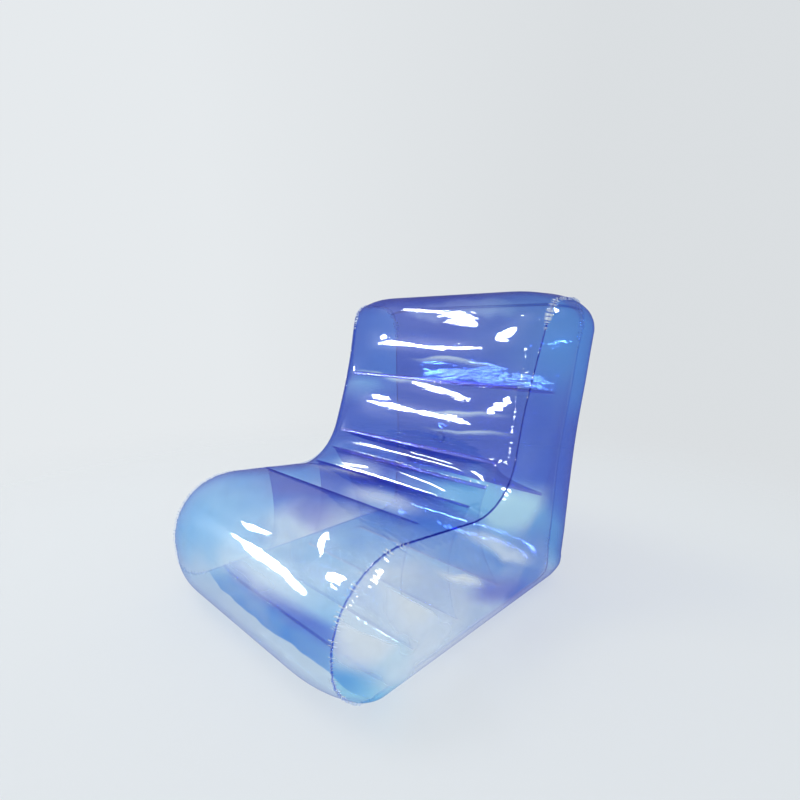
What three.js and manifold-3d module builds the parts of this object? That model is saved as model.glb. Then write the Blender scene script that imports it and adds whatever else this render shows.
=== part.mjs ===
// Inflatable lounge chair of clear blue film, one air chamber with five inner tie sheets.
// The chair faces -Y, +Z is up, and the origin is on the floor at the middle of its footprint.
// Lengths are in millimetres.

import * as THREE from 'three';
import { mergeVertices } from 'three/addons/utils/BufferGeometryUtils.js';
import Module from 'manifold-3d';

const wasm = await Module();
wasm.setup();

// Overall size: the depth is that of the seat, up to the crook, and that of the back behind it
const overallWidth = 673.1;
const seatDepth = 463.3;
const backDepth = 296.2;
const overallHeight = 650.2;

// Side outline: places of its corners before they are rounded, and the rounding of each
const noseHeight = 297.6;
const crookHeight = 250.5;
const backLean = 119.3;
const frontBottomRadius = 88;
const noseRadius = 164.3;
const crookRadius = 114;
const topFrontRadius = 58.4;
const topRearRadius = 83.1;
const rearBottomRadius = 74.9;

// Rounding from the wrapped panels over into the side panels: how far it reaches in from the
// outline, and how far across the width
const edgeInward = 76.7;
const edgeAcross = 174.6;
const floorEdgeInward = 51.8;
const floorEdgeAcross = 118.3;
const topEdgeAcross = 161.1;
const seamAngle = Math.PI / 4;

// The side panels swell less at the backrest and towards the lower rear
const backNarrowing = 11.9;
const rearNarrowing = 14.7;
const backNarrowingStart = 250;
const backNarrowingEnd = 450;
const rearNarrowingStart = 250;
const rearNarrowingEnd = 370;
const topEdgeStart = 500;
const topEdgeEnd = 620;
const floorEdgeCeiling = 150;

// Film and its weld margins
const filmThickness = 0.35;
const filmGap = 0.3;
const seamMargin = 4;
const lapWidth = 8;
const lapStep = 1.2;
const lapClearance = 0.4;

// Channel welds: a flat band with the film swelling on both sides of it. Each weld ends short of
// the chair's full width by its own margin.
const weldBand = 8;
const frontWeldMargin = 86.5;
const rearWeldMargin = 104.5;
const floorWeldMargin = 74.5;
const floorRearWeldMargin = 88.5;
const weldFade = 25;
const leastWeldDepth = 8;
const wideValley = 85;
const floorValley = 60;
const channelCrest = 6;
const crestFade = 92;

// Tie sheets inside, front to back. The shares place the near weld on the run from the nose tip
// over the seat to the middle of the top edge, and the far weld on the run under the floor and up
// the rear to the same place. flangeWay says which way the welded flanges turn from the sheet.
const tieEdgeHollow = 36;
const ties = [
  { name: 'front_seat', nearShare: 0.3566, farShare: 0.1974, farMargin: floorWeldMargin, flangeWay: -1 },
  { name: 'rear_seat', nearShare: 0.5042, farShare: 0.2892, farMargin: floorWeldMargin, flangeWay: -1 },
  { name: 'crook', nearShare: 0.5606, farShare: 0.409, farMargin: floorRearWeldMargin, flangeWay: -1 },
  { name: 'lower_back', nearShare: 0.6119, farShare: 0.6461, farMargin: rearWeldMargin, flangeWay: 1 },
  { name: 'upper_back', nearShare: 0.7618, farShare: 0.8118, farMargin: rearWeldMargin, flangeWay: 1 },
];
const floorSeamShare = 0.1341;

// Middle line of a side panel: its three corners, as shares of the sizes that they follow
const spineNoseShare = 0.32;
const spineBendInsetShare = 0.74;
const spineBendHeightShare = 0.47;
const spineTopInsetShare = 1.34;

// Air valve on the back: a welded flange with a collar, a stem that pushes in, a plug and a flap
const flangeRadius = 18;
const flangeEdge = 0.6;
const collarInner = 7.4;
const collarWall = 1.2;
const collarDepth = 9;
const collarRise = 1;
const stemRadius = 7;
const stemBore = 4.2;
const stemLength = 27;
const stopRingRadius = 8.2;
const stopRingHeight = 1.5;
const lipRadius = 9.5;
const lipHeight = 1.4;
const valveGap = 0.3;
const plugRadius = 3.8;
const plugTipRadius = 2.4;
const plugLength = 5;
const plugHeadRadius = 6.5;
const plugHeadHeight = 1.6;
const strapReach = 13;
const strapWidth = 5;
const strapThickness = 1;
const earLength = 0.8;
const pullTabLength = 5;
const flapRadius = 5.6;
const flapThickness = 0.6;
const flapTabReach = 1.6;
const flapTabWidth = 3;
const holeClearance = 0.4;
const dimpleMargin = 1.3;
const cutOverrun = 2;
const roundSides = 24;

// Counts of steps along the outline between its key places, for the seat side and the floor side
const backSteps = 4;
const seatSideSteps = [9, 1, 5, 1, 2, 1, 2, 1, 5, 1, 10];
const floorSideSteps = [6, 2, 1, 4, 1, 5, 1, 7, 1, backSteps, 1, 3, 2];
const acrossShares = [0, 0.32, 0.6, 0.85, 1];
const ringShares = [0.16, 0.36, 0.62, 0.86];
const tieSheetSteps = 8;
const leastFoldShare = 0.5;
const spineSamples = 200;

// Values that follow from the ones above
const overallDepth = seatDepth + backDepth;
const frontY = -overallDepth / 2;
const rearY = overallDepth / 2;
const crookY = frontY + seatDepth;
const halfWidth = overallWidth / 2;

// Heights on the valve's axis, measured out from the film that carries it
const flangeTop = valveGap + collarRise;
const lipBottom = flangeTop + valveGap;
const lipTop = lipBottom + lipHeight;
const stemBottom = lipTop - stemLength;
const headBottom = lipTop + valveGap;
const headTop = headBottom + plugHeadHeight;
const strapMiddle = headBottom + strapThickness / 2;
const valveDimple = headTop + dimpleMargin;

const clamp01 = (value) => Math.min(1, Math.max(0, value));

function smoothStep(start, end, value) {
  const share = clamp01((value - start) / (end - start));
  return share * share * (3 - 2 * share);
}

// Side outline as straight stretches and arcs, run from the front bottom up over the nose

const outlineCorners = [
  { name: 'frontBottom', y: frontY, z: 0, radius: frontBottomRadius },
  { name: 'nose', y: frontY, z: noseHeight, radius: noseRadius },
  { name: 'crook', y: crookY, z: crookHeight, radius: crookRadius },
  { name: 'topFront', y: crookY + backLean, z: overallHeight, radius: topFrontRadius },
  { name: 'topRear', y: rearY, z: overallHeight, radius: topRearRadius },
  { name: 'rearBottom', y: rearY, z: 0, radius: rearBottomRadius },
];

function roundedCorner(index) {
  const count = outlineCorners.length;
  const here = outlineCorners[index];
  const before = outlineCorners[(index + count - 1) % count];
  const after = outlineCorners[(index + 1) % count];
  const corner = new THREE.Vector2(here.y, here.z);
  const inward = corner.clone().sub(new THREE.Vector2(before.y, before.z)).normalize();
  const outward = new THREE.Vector2(after.y, after.z).sub(corner).normalize();
  const turn = Math.asin(inward.cross(outward));
  const signedTurn = inward.dot(outward) < 0 ? Math.sign(turn) * Math.PI - turn : turn;
  const reach = here.radius * Math.tan(Math.abs(signedTurn) / 2);
  const start = corner.clone().addScaledVector(inward, -reach);
  const end = corner.clone().addScaledVector(outward, reach);
  const length = Math.abs(signedTurn) * here.radius;
  return { name: here.name, start, end, heading: inward.angle(), turn: signedTurn, length };
}

function outlinePieces() {
  const corners = outlineCorners.map((corner, index) => roundedCorner(index));
  const pieces = [];
  corners.forEach((corner, index) => {
    const next = corners[(index + 1) % corners.length];
    pieces.push({ ...corner, name: `${corner.name}Arc` });
    pieces.push({
      name: `${corner.name}Run`,
      start: corner.end,
      heading: corner.heading + corner.turn,
      turn: 0,
      length: corner.end.distanceTo(next.start),
    });
  });
  return pieces;
}

const pieces = outlinePieces();
const outlineLength = pieces.reduce((sum, piece) => sum + piece.length, 0);

const onOutline = (distance) => ((distance % outlineLength) + outlineLength) % outlineLength;

function outlineAt(distance) {
  let rest = onOutline(distance);
  let piece = pieces[pieces.length - 1];
  for (const candidate of pieces) {
    if (rest <= candidate.length) {
      piece = candidate;
      break;
    }
    rest -= candidate.length;
  }
  const turned = piece.turn * Math.min(1, rest / piece.length);
  const chordAngle = piece.heading + turned / 2;
  const chord = piece.turn === 0 ? rest : (2 * piece.length / piece.turn) * Math.sin(turned / 2);
  const heading = piece.heading + turned;
  return {
    y: piece.start.x + chord * Math.cos(chordAngle),
    z: piece.start.y + chord * Math.sin(chordAngle),
    ny: -Math.sin(heading),
    nz: Math.cos(heading),
  };
}

// Distance along the outline to the middle of one of its arcs or straight runs
function middleOf(name) {
  const index = pieces.findIndex((piece) => piece.name === name);
  return pieces.slice(0, index).reduce((sum, piece) => sum + piece.length, pieces[index].length / 2);
}

const noseTip = middleOf('frontBottomRun');
const topTip = middleOf('topFrontRun');
const topRearSeam = middleOf('topRearArc');
const noseTipAgain = noseTip + outlineLength;
const overSeat = (share) => THREE.MathUtils.lerp(noseTip, topTip, share);
const underFloor = (share) => THREE.MathUtils.lerp(noseTipAgain, topTip, share);
const floorSeam = underFloor(floorSeamShare);

// Rounding into the sides, at one place of the outline

function sideHalfWidth(y, z) {
  const back = smoothStep(backNarrowingStart, backNarrowingEnd, z);
  const rear = smoothStep(rearNarrowingStart, rearNarrowingEnd, y);
  return halfWidth - backNarrowing * back - rearNarrowing * rear * (1 - back);
}

function roundingAt(distance) {
  const point = outlineAt(distance);
  const floorShare = point.z < floorEdgeCeiling ? clamp01(-point.nz) ** 2 : 0;
  const topShare = smoothStep(topEdgeStart, topEdgeEnd, point.z);
  const inward = THREE.MathUtils.lerp(edgeInward, floorEdgeInward, floorShare);
  const across = edgeAcross + (floorEdgeAcross - edgeAcross) * floorShare
    + (topEdgeAcross - edgeAcross) * topShare;
  const seamInset = inward * (1 - Math.cos(seamAngle));
  const half = sideHalfWidth(point.y - point.ny * seamInset, point.z - point.nz * seamInset);
  const seamAcross = half - across * (1 - Math.sin(seamAngle));
  return { point, inward, across, half, seamInset, seamAcross };
}

function edgeInset(rounding, x) {
  const into = clamp01((Math.abs(x) - (rounding.half - rounding.across)) / rounding.across);
  return rounding.inward * (1 - Math.sqrt(1 - into * into));
}

// Channel welds, each pair joined by a tie sheet

function makeWeld(distance, margin) {
  const half = halfWidth - margin;
  const depth = Math.max(edgeInset(roundingAt(distance), half), leastWeldDepth);
  return { distance, half, depth };
}

for (const tie of ties) {
  tie.near = makeWeld(overSeat(tie.nearShare), frontWeldMargin);
  tie.far = makeWeld(underFloor(tie.farShare), tie.farMargin);
}
const weldsInOrder = ties.flatMap((tie) => [tie.near, tie.far])
  .sort((a, b) => a.distance - b.distance);

// The film swells on each side of a weld up to halfway to the next one
weldsInOrder.forEach((weld, index) => {
  const before = weldsInOrder[index - 1];
  const after = weldsInOrder[index + 1];
  const onFloor = outlineAt(weld.distance).z < filmThickness;
  const widest = onFloor ? floorValley : wideValley;
  const room = (other) => {
    if (!other) return widest;
    return (Math.abs(other.distance - weld.distance) - weldBand) / 2;
  };
  weld.reachBefore = Math.min(widest, room(before));
  weld.reachAfter = Math.min(widest, room(after));
});

const firstSeatWeld = ties[0].near.distance;
const lastSeatWeld = ties[ties.length - 1].near.distance;

function weldShare(weld, distance) {
  const away = distance - weld.distance;
  const reach = away < 0 ? weld.reachBefore : weld.reachAfter;
  const outside = Math.abs(away) - weldBand / 2;
  return outside <= 0 ? 1 : clamp01(1 - outside / reach) ** 2;
}

function valleyDepth(rounding, distance, x) {
  let deepest = 0;
  for (const weld of weldsInOrder) {
    const extra = Math.max(0, weld.depth - edgeInset(rounding, x));
    const fade = 1 - smoothStep(weld.half, weld.half + weldFade, Math.abs(x));
    deepest = Math.max(deepest, extra * fade * weldShare(weld, distance));
  }
  return deepest;
}

function crestHeight(distance, x) {
  const outside = Math.max(firstSeatWeld - distance, distance - lastSeatWeld, 0);
  const along = 1 - smoothStep(0, crestFade, outside);
  const across = Math.max(0, 1 - (x / (halfWidth - frontWeldMargin)) ** 2);
  const weld = Math.max(...weldsInOrder.map((each) => weldShare(each, distance)));
  return channelCrest * along * across * (1 - weld);
}

// One point of the wrapped skin, at a distance along the outline and a place across the width
function skinPoint(distance, x) {
  const rounding = roundingAt(distance);
  const lift = crestHeight(distance, x) - edgeInset(rounding, x) - valleyDepth(rounding, distance, x);
  const { point } = rounding;
  return new THREE.Vector3(x, point.y + point.ny * lift, point.z + point.nz * lift);
}

function skinNormal(distance, x) {
  const step = filmThickness;
  const along = skinPoint(distance + step, x).sub(skinPoint(distance - step, x));
  const across = skinPoint(distance, x + step).sub(skinPoint(distance, x - step));
  return along.cross(across).normalize().negate();
}

// Seam frame: the seam's place, the way its margin stands out, and the way across it
function seamFrame(distance, side) {
  const { point, inward, across, seamInset, seamAcross } = roundingAt(distance);
  const place = new THREE.Vector3(
    side * seamAcross,
    point.y - point.ny * seamInset,
    point.z - point.nz * seamInset,
  );
  const outline = new THREE.Vector3(0, point.ny, point.nz);
  const width = new THREE.Vector3(side, 0, 0);
  const sine = Math.sin(seamAngle);
  const cosine = Math.cos(seamAngle);
  const out = width.clone().multiplyScalar(sine / across).addScaledVector(outline, cosine / inward);
  const over = width.clone().multiplyScalar(cosine * across).addScaledVector(outline, -sine * inward);
  return { place, out: out.normalize(), over: over.normalize() };
}

// Outer and inner points of a film where it turns up into its weld margin.
// way is -1 on the wrapped panels and 1 on the side panels.
function marginPoints(distance, side, way) {
  const { place, out, over } = seamFrame(distance, side);
  const near = (way * filmGap) / 2;
  const far = near + way * filmThickness;
  const at = (across, height) => place.clone().addScaledVector(over, across).addScaledVector(out, height);
  return {
    root: { outer: at(far, 0), inner: at(near, -filmThickness) },
    tip: { outer: at(far, seamMargin), inner: at(near, seamMargin) },
  };
}

// Closed solid from two like grids of points: cells say which squares of the grid hold film

function solidFromFaces(positions, faces) {
  const geometry = new THREE.BufferGeometry();
  const flat = positions.flatMap((point) => [point.x, point.y, point.z]);
  geometry.setAttribute('position', new THREE.Float32BufferAttribute(flat, 3));
  let volume = 0;
  for (const [a, b, c] of faces) {
    volume += positions[a].dot(positions[b].clone().cross(positions[c]));
  }
  const facing = volume < 0 ? faces.map(([a, b, c]) => [a, c, b]) : faces;
  geometry.setIndex(facing.flat());
  geometry.computeVertexNormals();
  return geometry;
}

function filmSolid(outer, inner, quads) {
  const positions = [...outer, ...inner];
  const shift = outer.length;
  const faces = [];
  const edges = new Map();
  const addPolygon = (corners) => {
    for (let index = 1; index < corners.length - 1; index += 1) {
      faces.push([corners[0], corners[index], corners[index + 1]]);
      faces.push([corners[0] + shift, corners[index + 1] + shift, corners[index] + shift]);
    }
    corners.forEach((start, index) => {
      const end = corners[(index + 1) % corners.length];
      const backKey = `${end}_${start}`;
      if (edges.has(backKey)) edges.delete(backKey);
      else edges.set(`${start}_${end}`, [start, end]);
    });
  };
  quads.forEach(addPolygon);
  for (const [start, end] of edges.values()) {
    faces.push([start, start + shift, end + shift]);
    faces.push([start, end + shift, end]);
  }
  return solidFromFaces(positions, faces);
}

// Stations along the outline

function fillStations(keys, steps) {
  const stations = [keys[0]];
  steps.forEach((count, index) => {
    for (let step = 1; step <= count; step += 1) {
      stations.push(THREE.MathUtils.lerp(keys[index], keys[index + 1], step / count));
    }
  });
  return stations;
}

const bandEnds = (weld) => [weld.distance - weldBand / 2, weld.distance + weldBand / 2];
const seatKeys = [noseTip, ...ties.flatMap((tie) => bandEnds(tie.near)), topTip];
const seatStations = fillStations(seatKeys, seatSideSteps);

// The floor side runs the other way round, so its distances fall from the nose tip
const floorKeys = [
  noseTipAgain,
  floorSeam,
  ...ties.flatMap((tie) => bandEnds(tie.far).reverse()),
  topRearSeam,
  topTip,
];
const floorStations = fillStations(floorKeys, floorSideSteps);
const floorSeamIndex = floorSideSteps[0];
const topSeamIndex = floorStations.length - 1 - floorSideSteps[floorSideSteps.length - 1];

// Half width that the columns of squares keep to: a weld's own at the weld, blended between welds
function weldHalfAt(distance) {
  const place = onOutline(distance);
  const after = weldsInOrder.findIndex((weld) => weld.distance > place);
  const high = weldsInOrder[Math.max(after, 0)];
  if (after === 0) return high.half;
  const low = weldsInOrder[after < 0 ? weldsInOrder.length - 1 : after - 1];
  const end = after < 0 ? outlineLength : high.distance;
  return THREE.MathUtils.lerp(low.half, high.half, (place - low.distance) / (end - low.distance));
}

// Places across the width at one station, from one seam to the other
function acrossPlaces(distance) {
  const half = weldHalfAt(distance);
  const right = acrossShares.map((share) => share * half);
  const left = right.slice(1).reverse().map((x) => -x);
  return [...left, ...right];
}

const marginColumns = 2;
const wrapColumns = acrossShares.length * 2 - 1 + marginColumns * 2;
const noDimple = () => 0;
const lapInset = filmThickness + lapClearance;

// Rows of a wrapped panel: outer and inner points from the left margin tip to the right one
function wrapRow(distance, dimple) {
  const left = marginPoints(distance, -1, -1);
  const right = marginPoints(distance, 1, -1);
  const middle = acrossPlaces(distance).map((x) => {
    const normal = skinNormal(distance, x);
    const outer = skinPoint(distance, x).addScaledVector(normal, -dimple(distance, x));
    return { outer, inner: outer.clone().addScaledVector(normal, -filmThickness) };
  });
  return [left.tip, left.root, ...middle, right.root, right.tip];
}

// A row that lies inside another panel's last facet, which runs from one station to the next
function lapRow(start, next, along) {
  const inset = (row) => row.map(({ outer, inner }) => {
    const down = inner.clone().sub(outer).setLength(lapInset);
    return { outer: outer.clone().add(down), inner: inner.clone().add(down) };
  });
  const first = inset(wrapRow(start, noDimple));
  const second = inset(wrapRow(next, noDimple));
  const share = along / Math.abs(next - start);
  return first.map((point, index) => ({
    outer: point.outer.clone().lerp(second[index].outer, share),
    inner: point.inner.clone().lerp(second[index].inner, share),
  }));
}

function wrapPanel(rows) {
  const outer = rows.flatMap((row) => row.points.map((point) => point.outer));
  const inner = rows.flatMap((row) => row.points.map((point) => point.inner));
  const quads = [];
  for (let row = 0; row < rows.length - 1; row += 1) {
    const narrow = rows[row].lap || rows[row + 1].lap;
    const first = narrow ? marginColumns : 0;
    const last = wrapColumns - 1 - first;
    for (let column = first; column < last; column += 1) {
      const a = row * wrapColumns + column;
      const b = a + wrapColumns;
      quads.push([a, a + 1, b + 1, b]);
    }
  }
  return filmSolid(outer, inner, quads);
}

// Front panel: from the floor seam up over the nose, the seat and the backrest to the top seam
function frontPanelGeometry() {
  const low = floorStations.slice(0, floorSeamIndex + 1).reverse();
  const high = floorStations.slice(topSeamIndex, -1).reverse();
  const stations = [...low, ...seatStations.slice(1), ...high];
  return wrapPanel(stations.map((place) => ({ points: wrapRow(place, noDimple) })));
}

// Base panel: from the top seam down the back and forward under the chair to the floor seam.
// Its two ends lie inside the front panel's ends, as lap welds.

// The valve sits in the middle of one square of this panel, which is drawn in as its dimple
const [lowerBack, upperBack] = ties.slice(-2).map((tie) => tie.far);
const valveRowEnds = [1, 2].map((row) => THREE.MathUtils.lerp(
  lowerBack.distance - weldBand / 2,
  upperBack.distance + weldBand / 2,
  row / backSteps,
));
const valveDistance = (valveRowEnds[0] + valveRowEnds[1]) / 2;
const valveHeight = outlineAt(valveDistance).z;
const valveColumnShares = acrossShares.slice(1, 3);
const valveAcross = -weldHalfAt(valveDistance) * (valveColumnShares[0] + valveColumnShares[1]) / 2;

function dimpleAt(distance, x) {
  const inRows = valveRowEnds.some((end) => Math.abs(distance - end) < filmGap);
  const columns = valveColumnShares.map((share) => -share * weldHalfAt(distance));
  const inColumns = columns.some((column) => Math.abs(x - column) < filmGap);
  return inRows && inColumns ? valveDimple : 0;
}

function basePanelGeometry() {
  const inside = floorStations.slice(floorSeamIndex + 1, topSeamIndex);
  const floorLap = [floorSeam, floorStations[floorSeamIndex - 1]];
  const topLap = [topRearSeam, floorStations[topSeamIndex + 1]];
  const open = (place) => ({ points: wrapRow(place, dimpleAt) });
  const lap = (ends, along) => ({ points: lapRow(...ends, along), lap: true });
  return wrapPanel([
    lap(floorLap, lapWidth),
    lap(floorLap, 0),
    open(floorSeam - lapStep),
    ...inside.map(open),
    open(topRearSeam + lapStep),
    lap(topLap, 0),
    lap(topLap, lapWidth),
  ]);
}

// Side panels: rings that run in from the seam to a middle line of the side

function spinePoints() {
  const nose = new THREE.Vector2(frontY + seatDepth * spineNoseShare, noseHeight / 2);
  const bend = new THREE.Vector2(
    rearY - rearBottomRadius - edgeInward * spineBendInsetShare,
    noseHeight * spineBendHeightShare,
  );
  const top = new THREE.Vector2(
    (crookY + backLean + rearY) / 2,
    overallHeight - edgeInward * spineTopInsetShare,
  );
  const start = bend.clone().lerp(nose, crookRadius / bend.distanceTo(nose));
  const end = bend.clone().lerp(top, crookRadius / bend.distanceTo(top));
  const path = new THREE.Path();
  path.moveTo(nose.x, nose.y);
  path.lineTo(start.x, start.y);
  path.quadraticCurveTo(bend.x, bend.y, end.x, end.y);
  path.lineTo(top.x, top.y);
  return path.getSpacedPoints(spineSamples);
}

const spine = spinePoints();

function nearestOnSpine(place) {
  return spine.reduce((best, point) => (
    point.distanceTo(place) < best.distanceTo(place) ? point : best
  ));
}

const sideRungs = seatStations.map((distance, index) => {
  const seat = roundingAt(distance).point;
  const floor = roundingAt(floorStations[index]).point;
  return nearestOnSpine(new THREE.Vector2((seat.y + floor.y) / 2, (seat.z + floor.z) / 2));
});

// A point of the side, a share of the way from the seam to the middle line
function sidePoint(distance, target, share, side) {
  const { point, inward, across, seamInset, half, seamAcross } = roundingAt(distance);
  const seam = new THREE.Vector2(point.y - point.ny * seamInset, point.z - point.nz * seamInset);
  const place = seam.clone().lerp(target, share);
  const deep = seamInset + Math.max(0, (seam.x - place.x) * point.ny + (seam.y - place.y) * point.nz);
  const rise = Math.sqrt(Math.max(0, 1 - (1 - Math.min(1, deep / inward)) ** 2));
  const swell = half - across + across * rise - seamAcross;
  const drift = sideHalfWidth(place.x, place.y) - half;
  return new THREE.Vector3(side * (seamAcross + swell + drift * share), place.x, place.y);
}

function sidePanelGeometry(side) {
  const count = seatStations.length - 1;
  const loop = [
    ...seatStations.slice(0, count).map((distance, index) => ({
      distance,
      target: sideRungs[index],
    })),
    ...floorStations.slice(1).reverse().map((distance, index) => ({
      distance,
      target: sideRungs[count - index],
    })),
  ];
  const outer = [];
  const inner = [];
  const nudgeShare = filmThickness / seatDepth;
  for (const { distance, target } of loop) {
    const { tip, root } = marginPoints(distance, side, 1);
    outer.push(tip.outer, root.outer);
    inner.push(tip.inner, root.inner);
    for (const share of ringShares) {
      const place = sidePoint(distance, target, share, side);
      const further = sidePoint(distance, target, share + nudgeShare, side).sub(place);
      const beside = sidePoint(distance + filmThickness, target, share, side).sub(place);
      const normal = further.cross(beside).normalize();
      if (normal.x * side < 0) normal.negate();
      outer.push(place);
      inner.push(place.clone().addScaledVector(normal, -filmThickness));
    }
  }
  const rings = ringShares.length + 2;
  const quads = [];
  for (let index = 0; index < loop.length; index += 1) {
    const next = (index + 1) % loop.length;
    for (let ring = 0; ring < rings - 1; ring += 1) {
      const a = index * rings + ring;
      const b = next * rings + ring;
      quads.push([a, b, b + 1, a + 1]);
    }
  }
  // The last ring's two long sides are joined straight across the middle line
  const last = (index) => (index % loop.length) * rings + rings - 1;
  for (let index = 0; index < count; index += 1) {
    const corners = [
      last(index),
      last(index + 1),
      last(loop.length - index - 1),
      last(loop.length - index),
    ];
    quads.push(corners.filter((corner, place) => corners.indexOf(corner) === place));
  }
  return filmSolid(outer, inner, quads);
}

// Tie sheet: a flange welded along a seat weld, a sheet with hollow side edges, and a far flange

function bandPoint(weld, shift, deep) {
  const point = outlineAt(weld.distance + shift);
  const drop = weld.depth + deep;
  return new THREE.Vector2(point.y - point.ny * drop, point.z - point.nz * drop);
}

function tieSheetGeometry({ near, far, flangeWay }) {
  const under = filmThickness + filmGap + filmThickness / 2;
  const band = flangeWay * (weldBand / 2 - filmThickness);
  const path = [bandPoint(near, band, under), bandPoint(near, -band, under)];
  const end = [bandPoint(far, -band, under), bandPoint(far, band, under)];
  const halves = [near.half, near.half];
  for (let step = 1; step < tieSheetSteps; step += 1) {
    const share = step / tieSheetSteps;
    path.push(path[1].clone().lerp(end[0], share));
    const straight = THREE.MathUtils.lerp(near.half, far.half, share);
    halves.push(straight - tieEdgeHollow * 4 * share * (1 - share));
  }
  path.push(...end);
  halves.push(far.half, far.half);
  const outer = [];
  const inner = [];
  path.forEach((place, index) => {
    const before = path[Math.max(0, index - 1)];
    const after = path[Math.min(path.length - 1, index + 1)];
    const arriving = place.clone().sub(before).normalize();
    const leaving = after.clone().sub(place).normalize();
    const heading = arriving.add(leaving).normalize();
    const half = filmThickness / 2 / Math.max(heading.dot(leaving) || 1, leastFoldShare);
    const offset = new THREE.Vector2(-heading.y, heading.x).multiplyScalar(half);
    for (const side of [-1, 1]) {
      outer.push(new THREE.Vector3(side * halves[index], place.x + offset.x, place.y + offset.y));
      inner.push(new THREE.Vector3(side * halves[index], place.x - offset.x, place.y - offset.y));
    }
  });
  const quads = [];
  for (let row = 0; row < path.length - 1; row += 1) {
    const a = row * 2;
    quads.push([a, a + 1, a + 3, a + 2]);
  }
  return filmSolid(outer, inner, quads);
}

// Valve: turned pieces on an axis that points straight back, measured out from the dimpled film

const backFaceY = rearY - valveDimple;

function turned(points) {
  const profile = points.map(([radius, height]) => new THREE.Vector2(radius, height));
  const geometry = new THREE.LatheGeometry(profile, roundSides);
  geometry.deleteAttribute('normal');
  geometry.deleteAttribute('uv');
  return mergeVertices(geometry);
}

function toManifold(geometry) {
  const bare = geometry.clone();
  bare.deleteAttribute('normal');
  bare.deleteAttribute('uv');
  const merged = mergeVertices(bare);
  return new wasm.Manifold(new wasm.Mesh({
    numProp: 3,
    vertProperties: new Float32Array(merged.attributes.position.array),
    triVerts: new Uint32Array(merged.index.array),
  }));
}

function fromManifold(solid) {
  const mesh = solid.getMesh();
  const geometry = new THREE.BufferGeometry();
  geometry.setAttribute('position', new THREE.Float32BufferAttribute(mesh.vertProperties, 3));
  geometry.setIndex([...mesh.triVerts]);
  geometry.computeVertexNormals();
  return geometry;
}

function valveFlangeGeometry() {
  const collarOuter = collarInner + collarWall;
  return turned([
    [collarInner, -collarDepth],
    [collarOuter, -collarDepth],
    [collarOuter, valveGap],
    [flangeRadius, valveGap],
    [flangeRadius, valveGap + flangeEdge],
    [collarOuter + collarWall, flangeTop],
    [collarInner, flangeTop],
    [collarInner, -collarDepth],
  ]);
}

// A flat bar at one height of the valve's axis, that runs straight out from near it
function bar(width, thickness, height, start, end) {
  const geometry = new THREE.BoxGeometry(width, thickness, Math.abs(end - start));
  geometry.translate(0, height, (start + end) / 2);
  return geometry;
}

function valveStemGeometry() {
  const tube = turned([
    [stemBore, stemBottom],
    [stopRingRadius, stemBottom],
    [stopRingRadius, stemBottom + stopRingHeight],
    [stemRadius, stemBottom + stopRingHeight],
    [stemRadius, lipBottom],
    [lipRadius, lipBottom],
    [lipRadius, lipTop],
    [stemBore, lipTop],
    [stemBore, stemBottom],
  ]);
  const earEnd = strapReach + earLength;
  const earStart = (stemBore + lipRadius) / 2;
  const ear = bar(strapWidth, lipHeight, (lipBottom + lipTop) / 2, earStart, earEnd);
  return fromManifold(toManifold(tube).add(toManifold(ear)));
}

function valvePlugGeometry() {
  const plug = turned([
    [0, headBottom - plugLength],
    [plugTipRadius, headBottom - plugLength],
    [plugRadius, headBottom],
    [plugHeadRadius, headBottom],
    [plugHeadRadius, headTop],
    [0, headTop],
  ]);
  const strap = bar(strapWidth, strapThickness, strapMiddle, 0, strapReach);
  const tab = bar(strapWidth, strapThickness, strapMiddle, 0, -plugHeadRadius - pullTabLength);
  return fromManifold(toManifold(plug).add(toManifold(strap)).add(toManifold(tab)));
}

function valveFlapGeometry() {
  const top = stemBottom - valveGap;
  const disc = turned([
    [0, top - flapThickness],
    [flapRadius, top - flapThickness],
    [flapRadius, top],
    [0, top],
  ]);
  const tab = bar(flapTabWidth, flapThickness, top - flapThickness / 2, 0, -flapRadius - flapTabReach);
  return fromManifold(toManifold(disc).add(toManifold(tab)));
}

// The valve's pieces are made about +Y and already point straight back. Turning them half round
// that axis puts the plug's strap below the stem.
const placeValve = new THREE.Matrix4().makeRotationY(Math.PI);
placeValve.setPosition(valveAcross, backFaceY, valveHeight);

function basePanelWithHole() {
  const hole = new THREE.CylinderGeometry(
    collarInner + collarWall + holeClearance,
    collarInner + collarWall + holeClearance,
    cutOverrun * 2 + filmThickness,
    roundSides,
  );
  hole.applyMatrix4(placeValve);
  return fromManifold(toManifold(basePanelGeometry()).subtract(toManifold(hole)));
}

// Pieces and their finishes

const clearFilm = new THREE.MeshStandardMaterial({ color: 0x6f9fe0, roughness: 0.06, metalness: 0 });
const tieFilm = new THREE.MeshStandardMaterial({ color: 0x6a7fd0, roughness: 0.12, metalness: 0 });
const softMoulding = new THREE.MeshStandardMaterial({ color: 0x8fb4e6, roughness: 0.25, metalness: 0 });

const chair = new THREE.Group();

function addPiece(name, geometry, material) {
  const mesh = new THREE.Mesh(geometry, material);
  mesh.name = name;
  chair.add(mesh);
  return mesh;
}

addPiece('front_panel', frontPanelGeometry(), clearFilm);
addPiece('back_and_base_panel', basePanelWithHole(), clearFilm);
addPiece('right_side_panel', sidePanelGeometry(1), clearFilm);
addPiece('left_side_panel', sidePanelGeometry(-1), clearFilm);
for (const tie of ties) {
  addPiece(`${tie.name}_tie_sheet`, tieSheetGeometry(tie), tieFilm);
}
addPiece('valve_flange', valveFlangeGeometry(), softMoulding).applyMatrix4(placeValve);
addPiece('valve_stem', valveStemGeometry(), softMoulding).applyMatrix4(placeValve);
addPiece('valve_plug', valvePlugGeometry(), softMoulding).applyMatrix4(placeValve);
addPiece('valve_flap', valveFlapGeometry(), softMoulding).applyMatrix4(placeValve);

export default chair;
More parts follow.
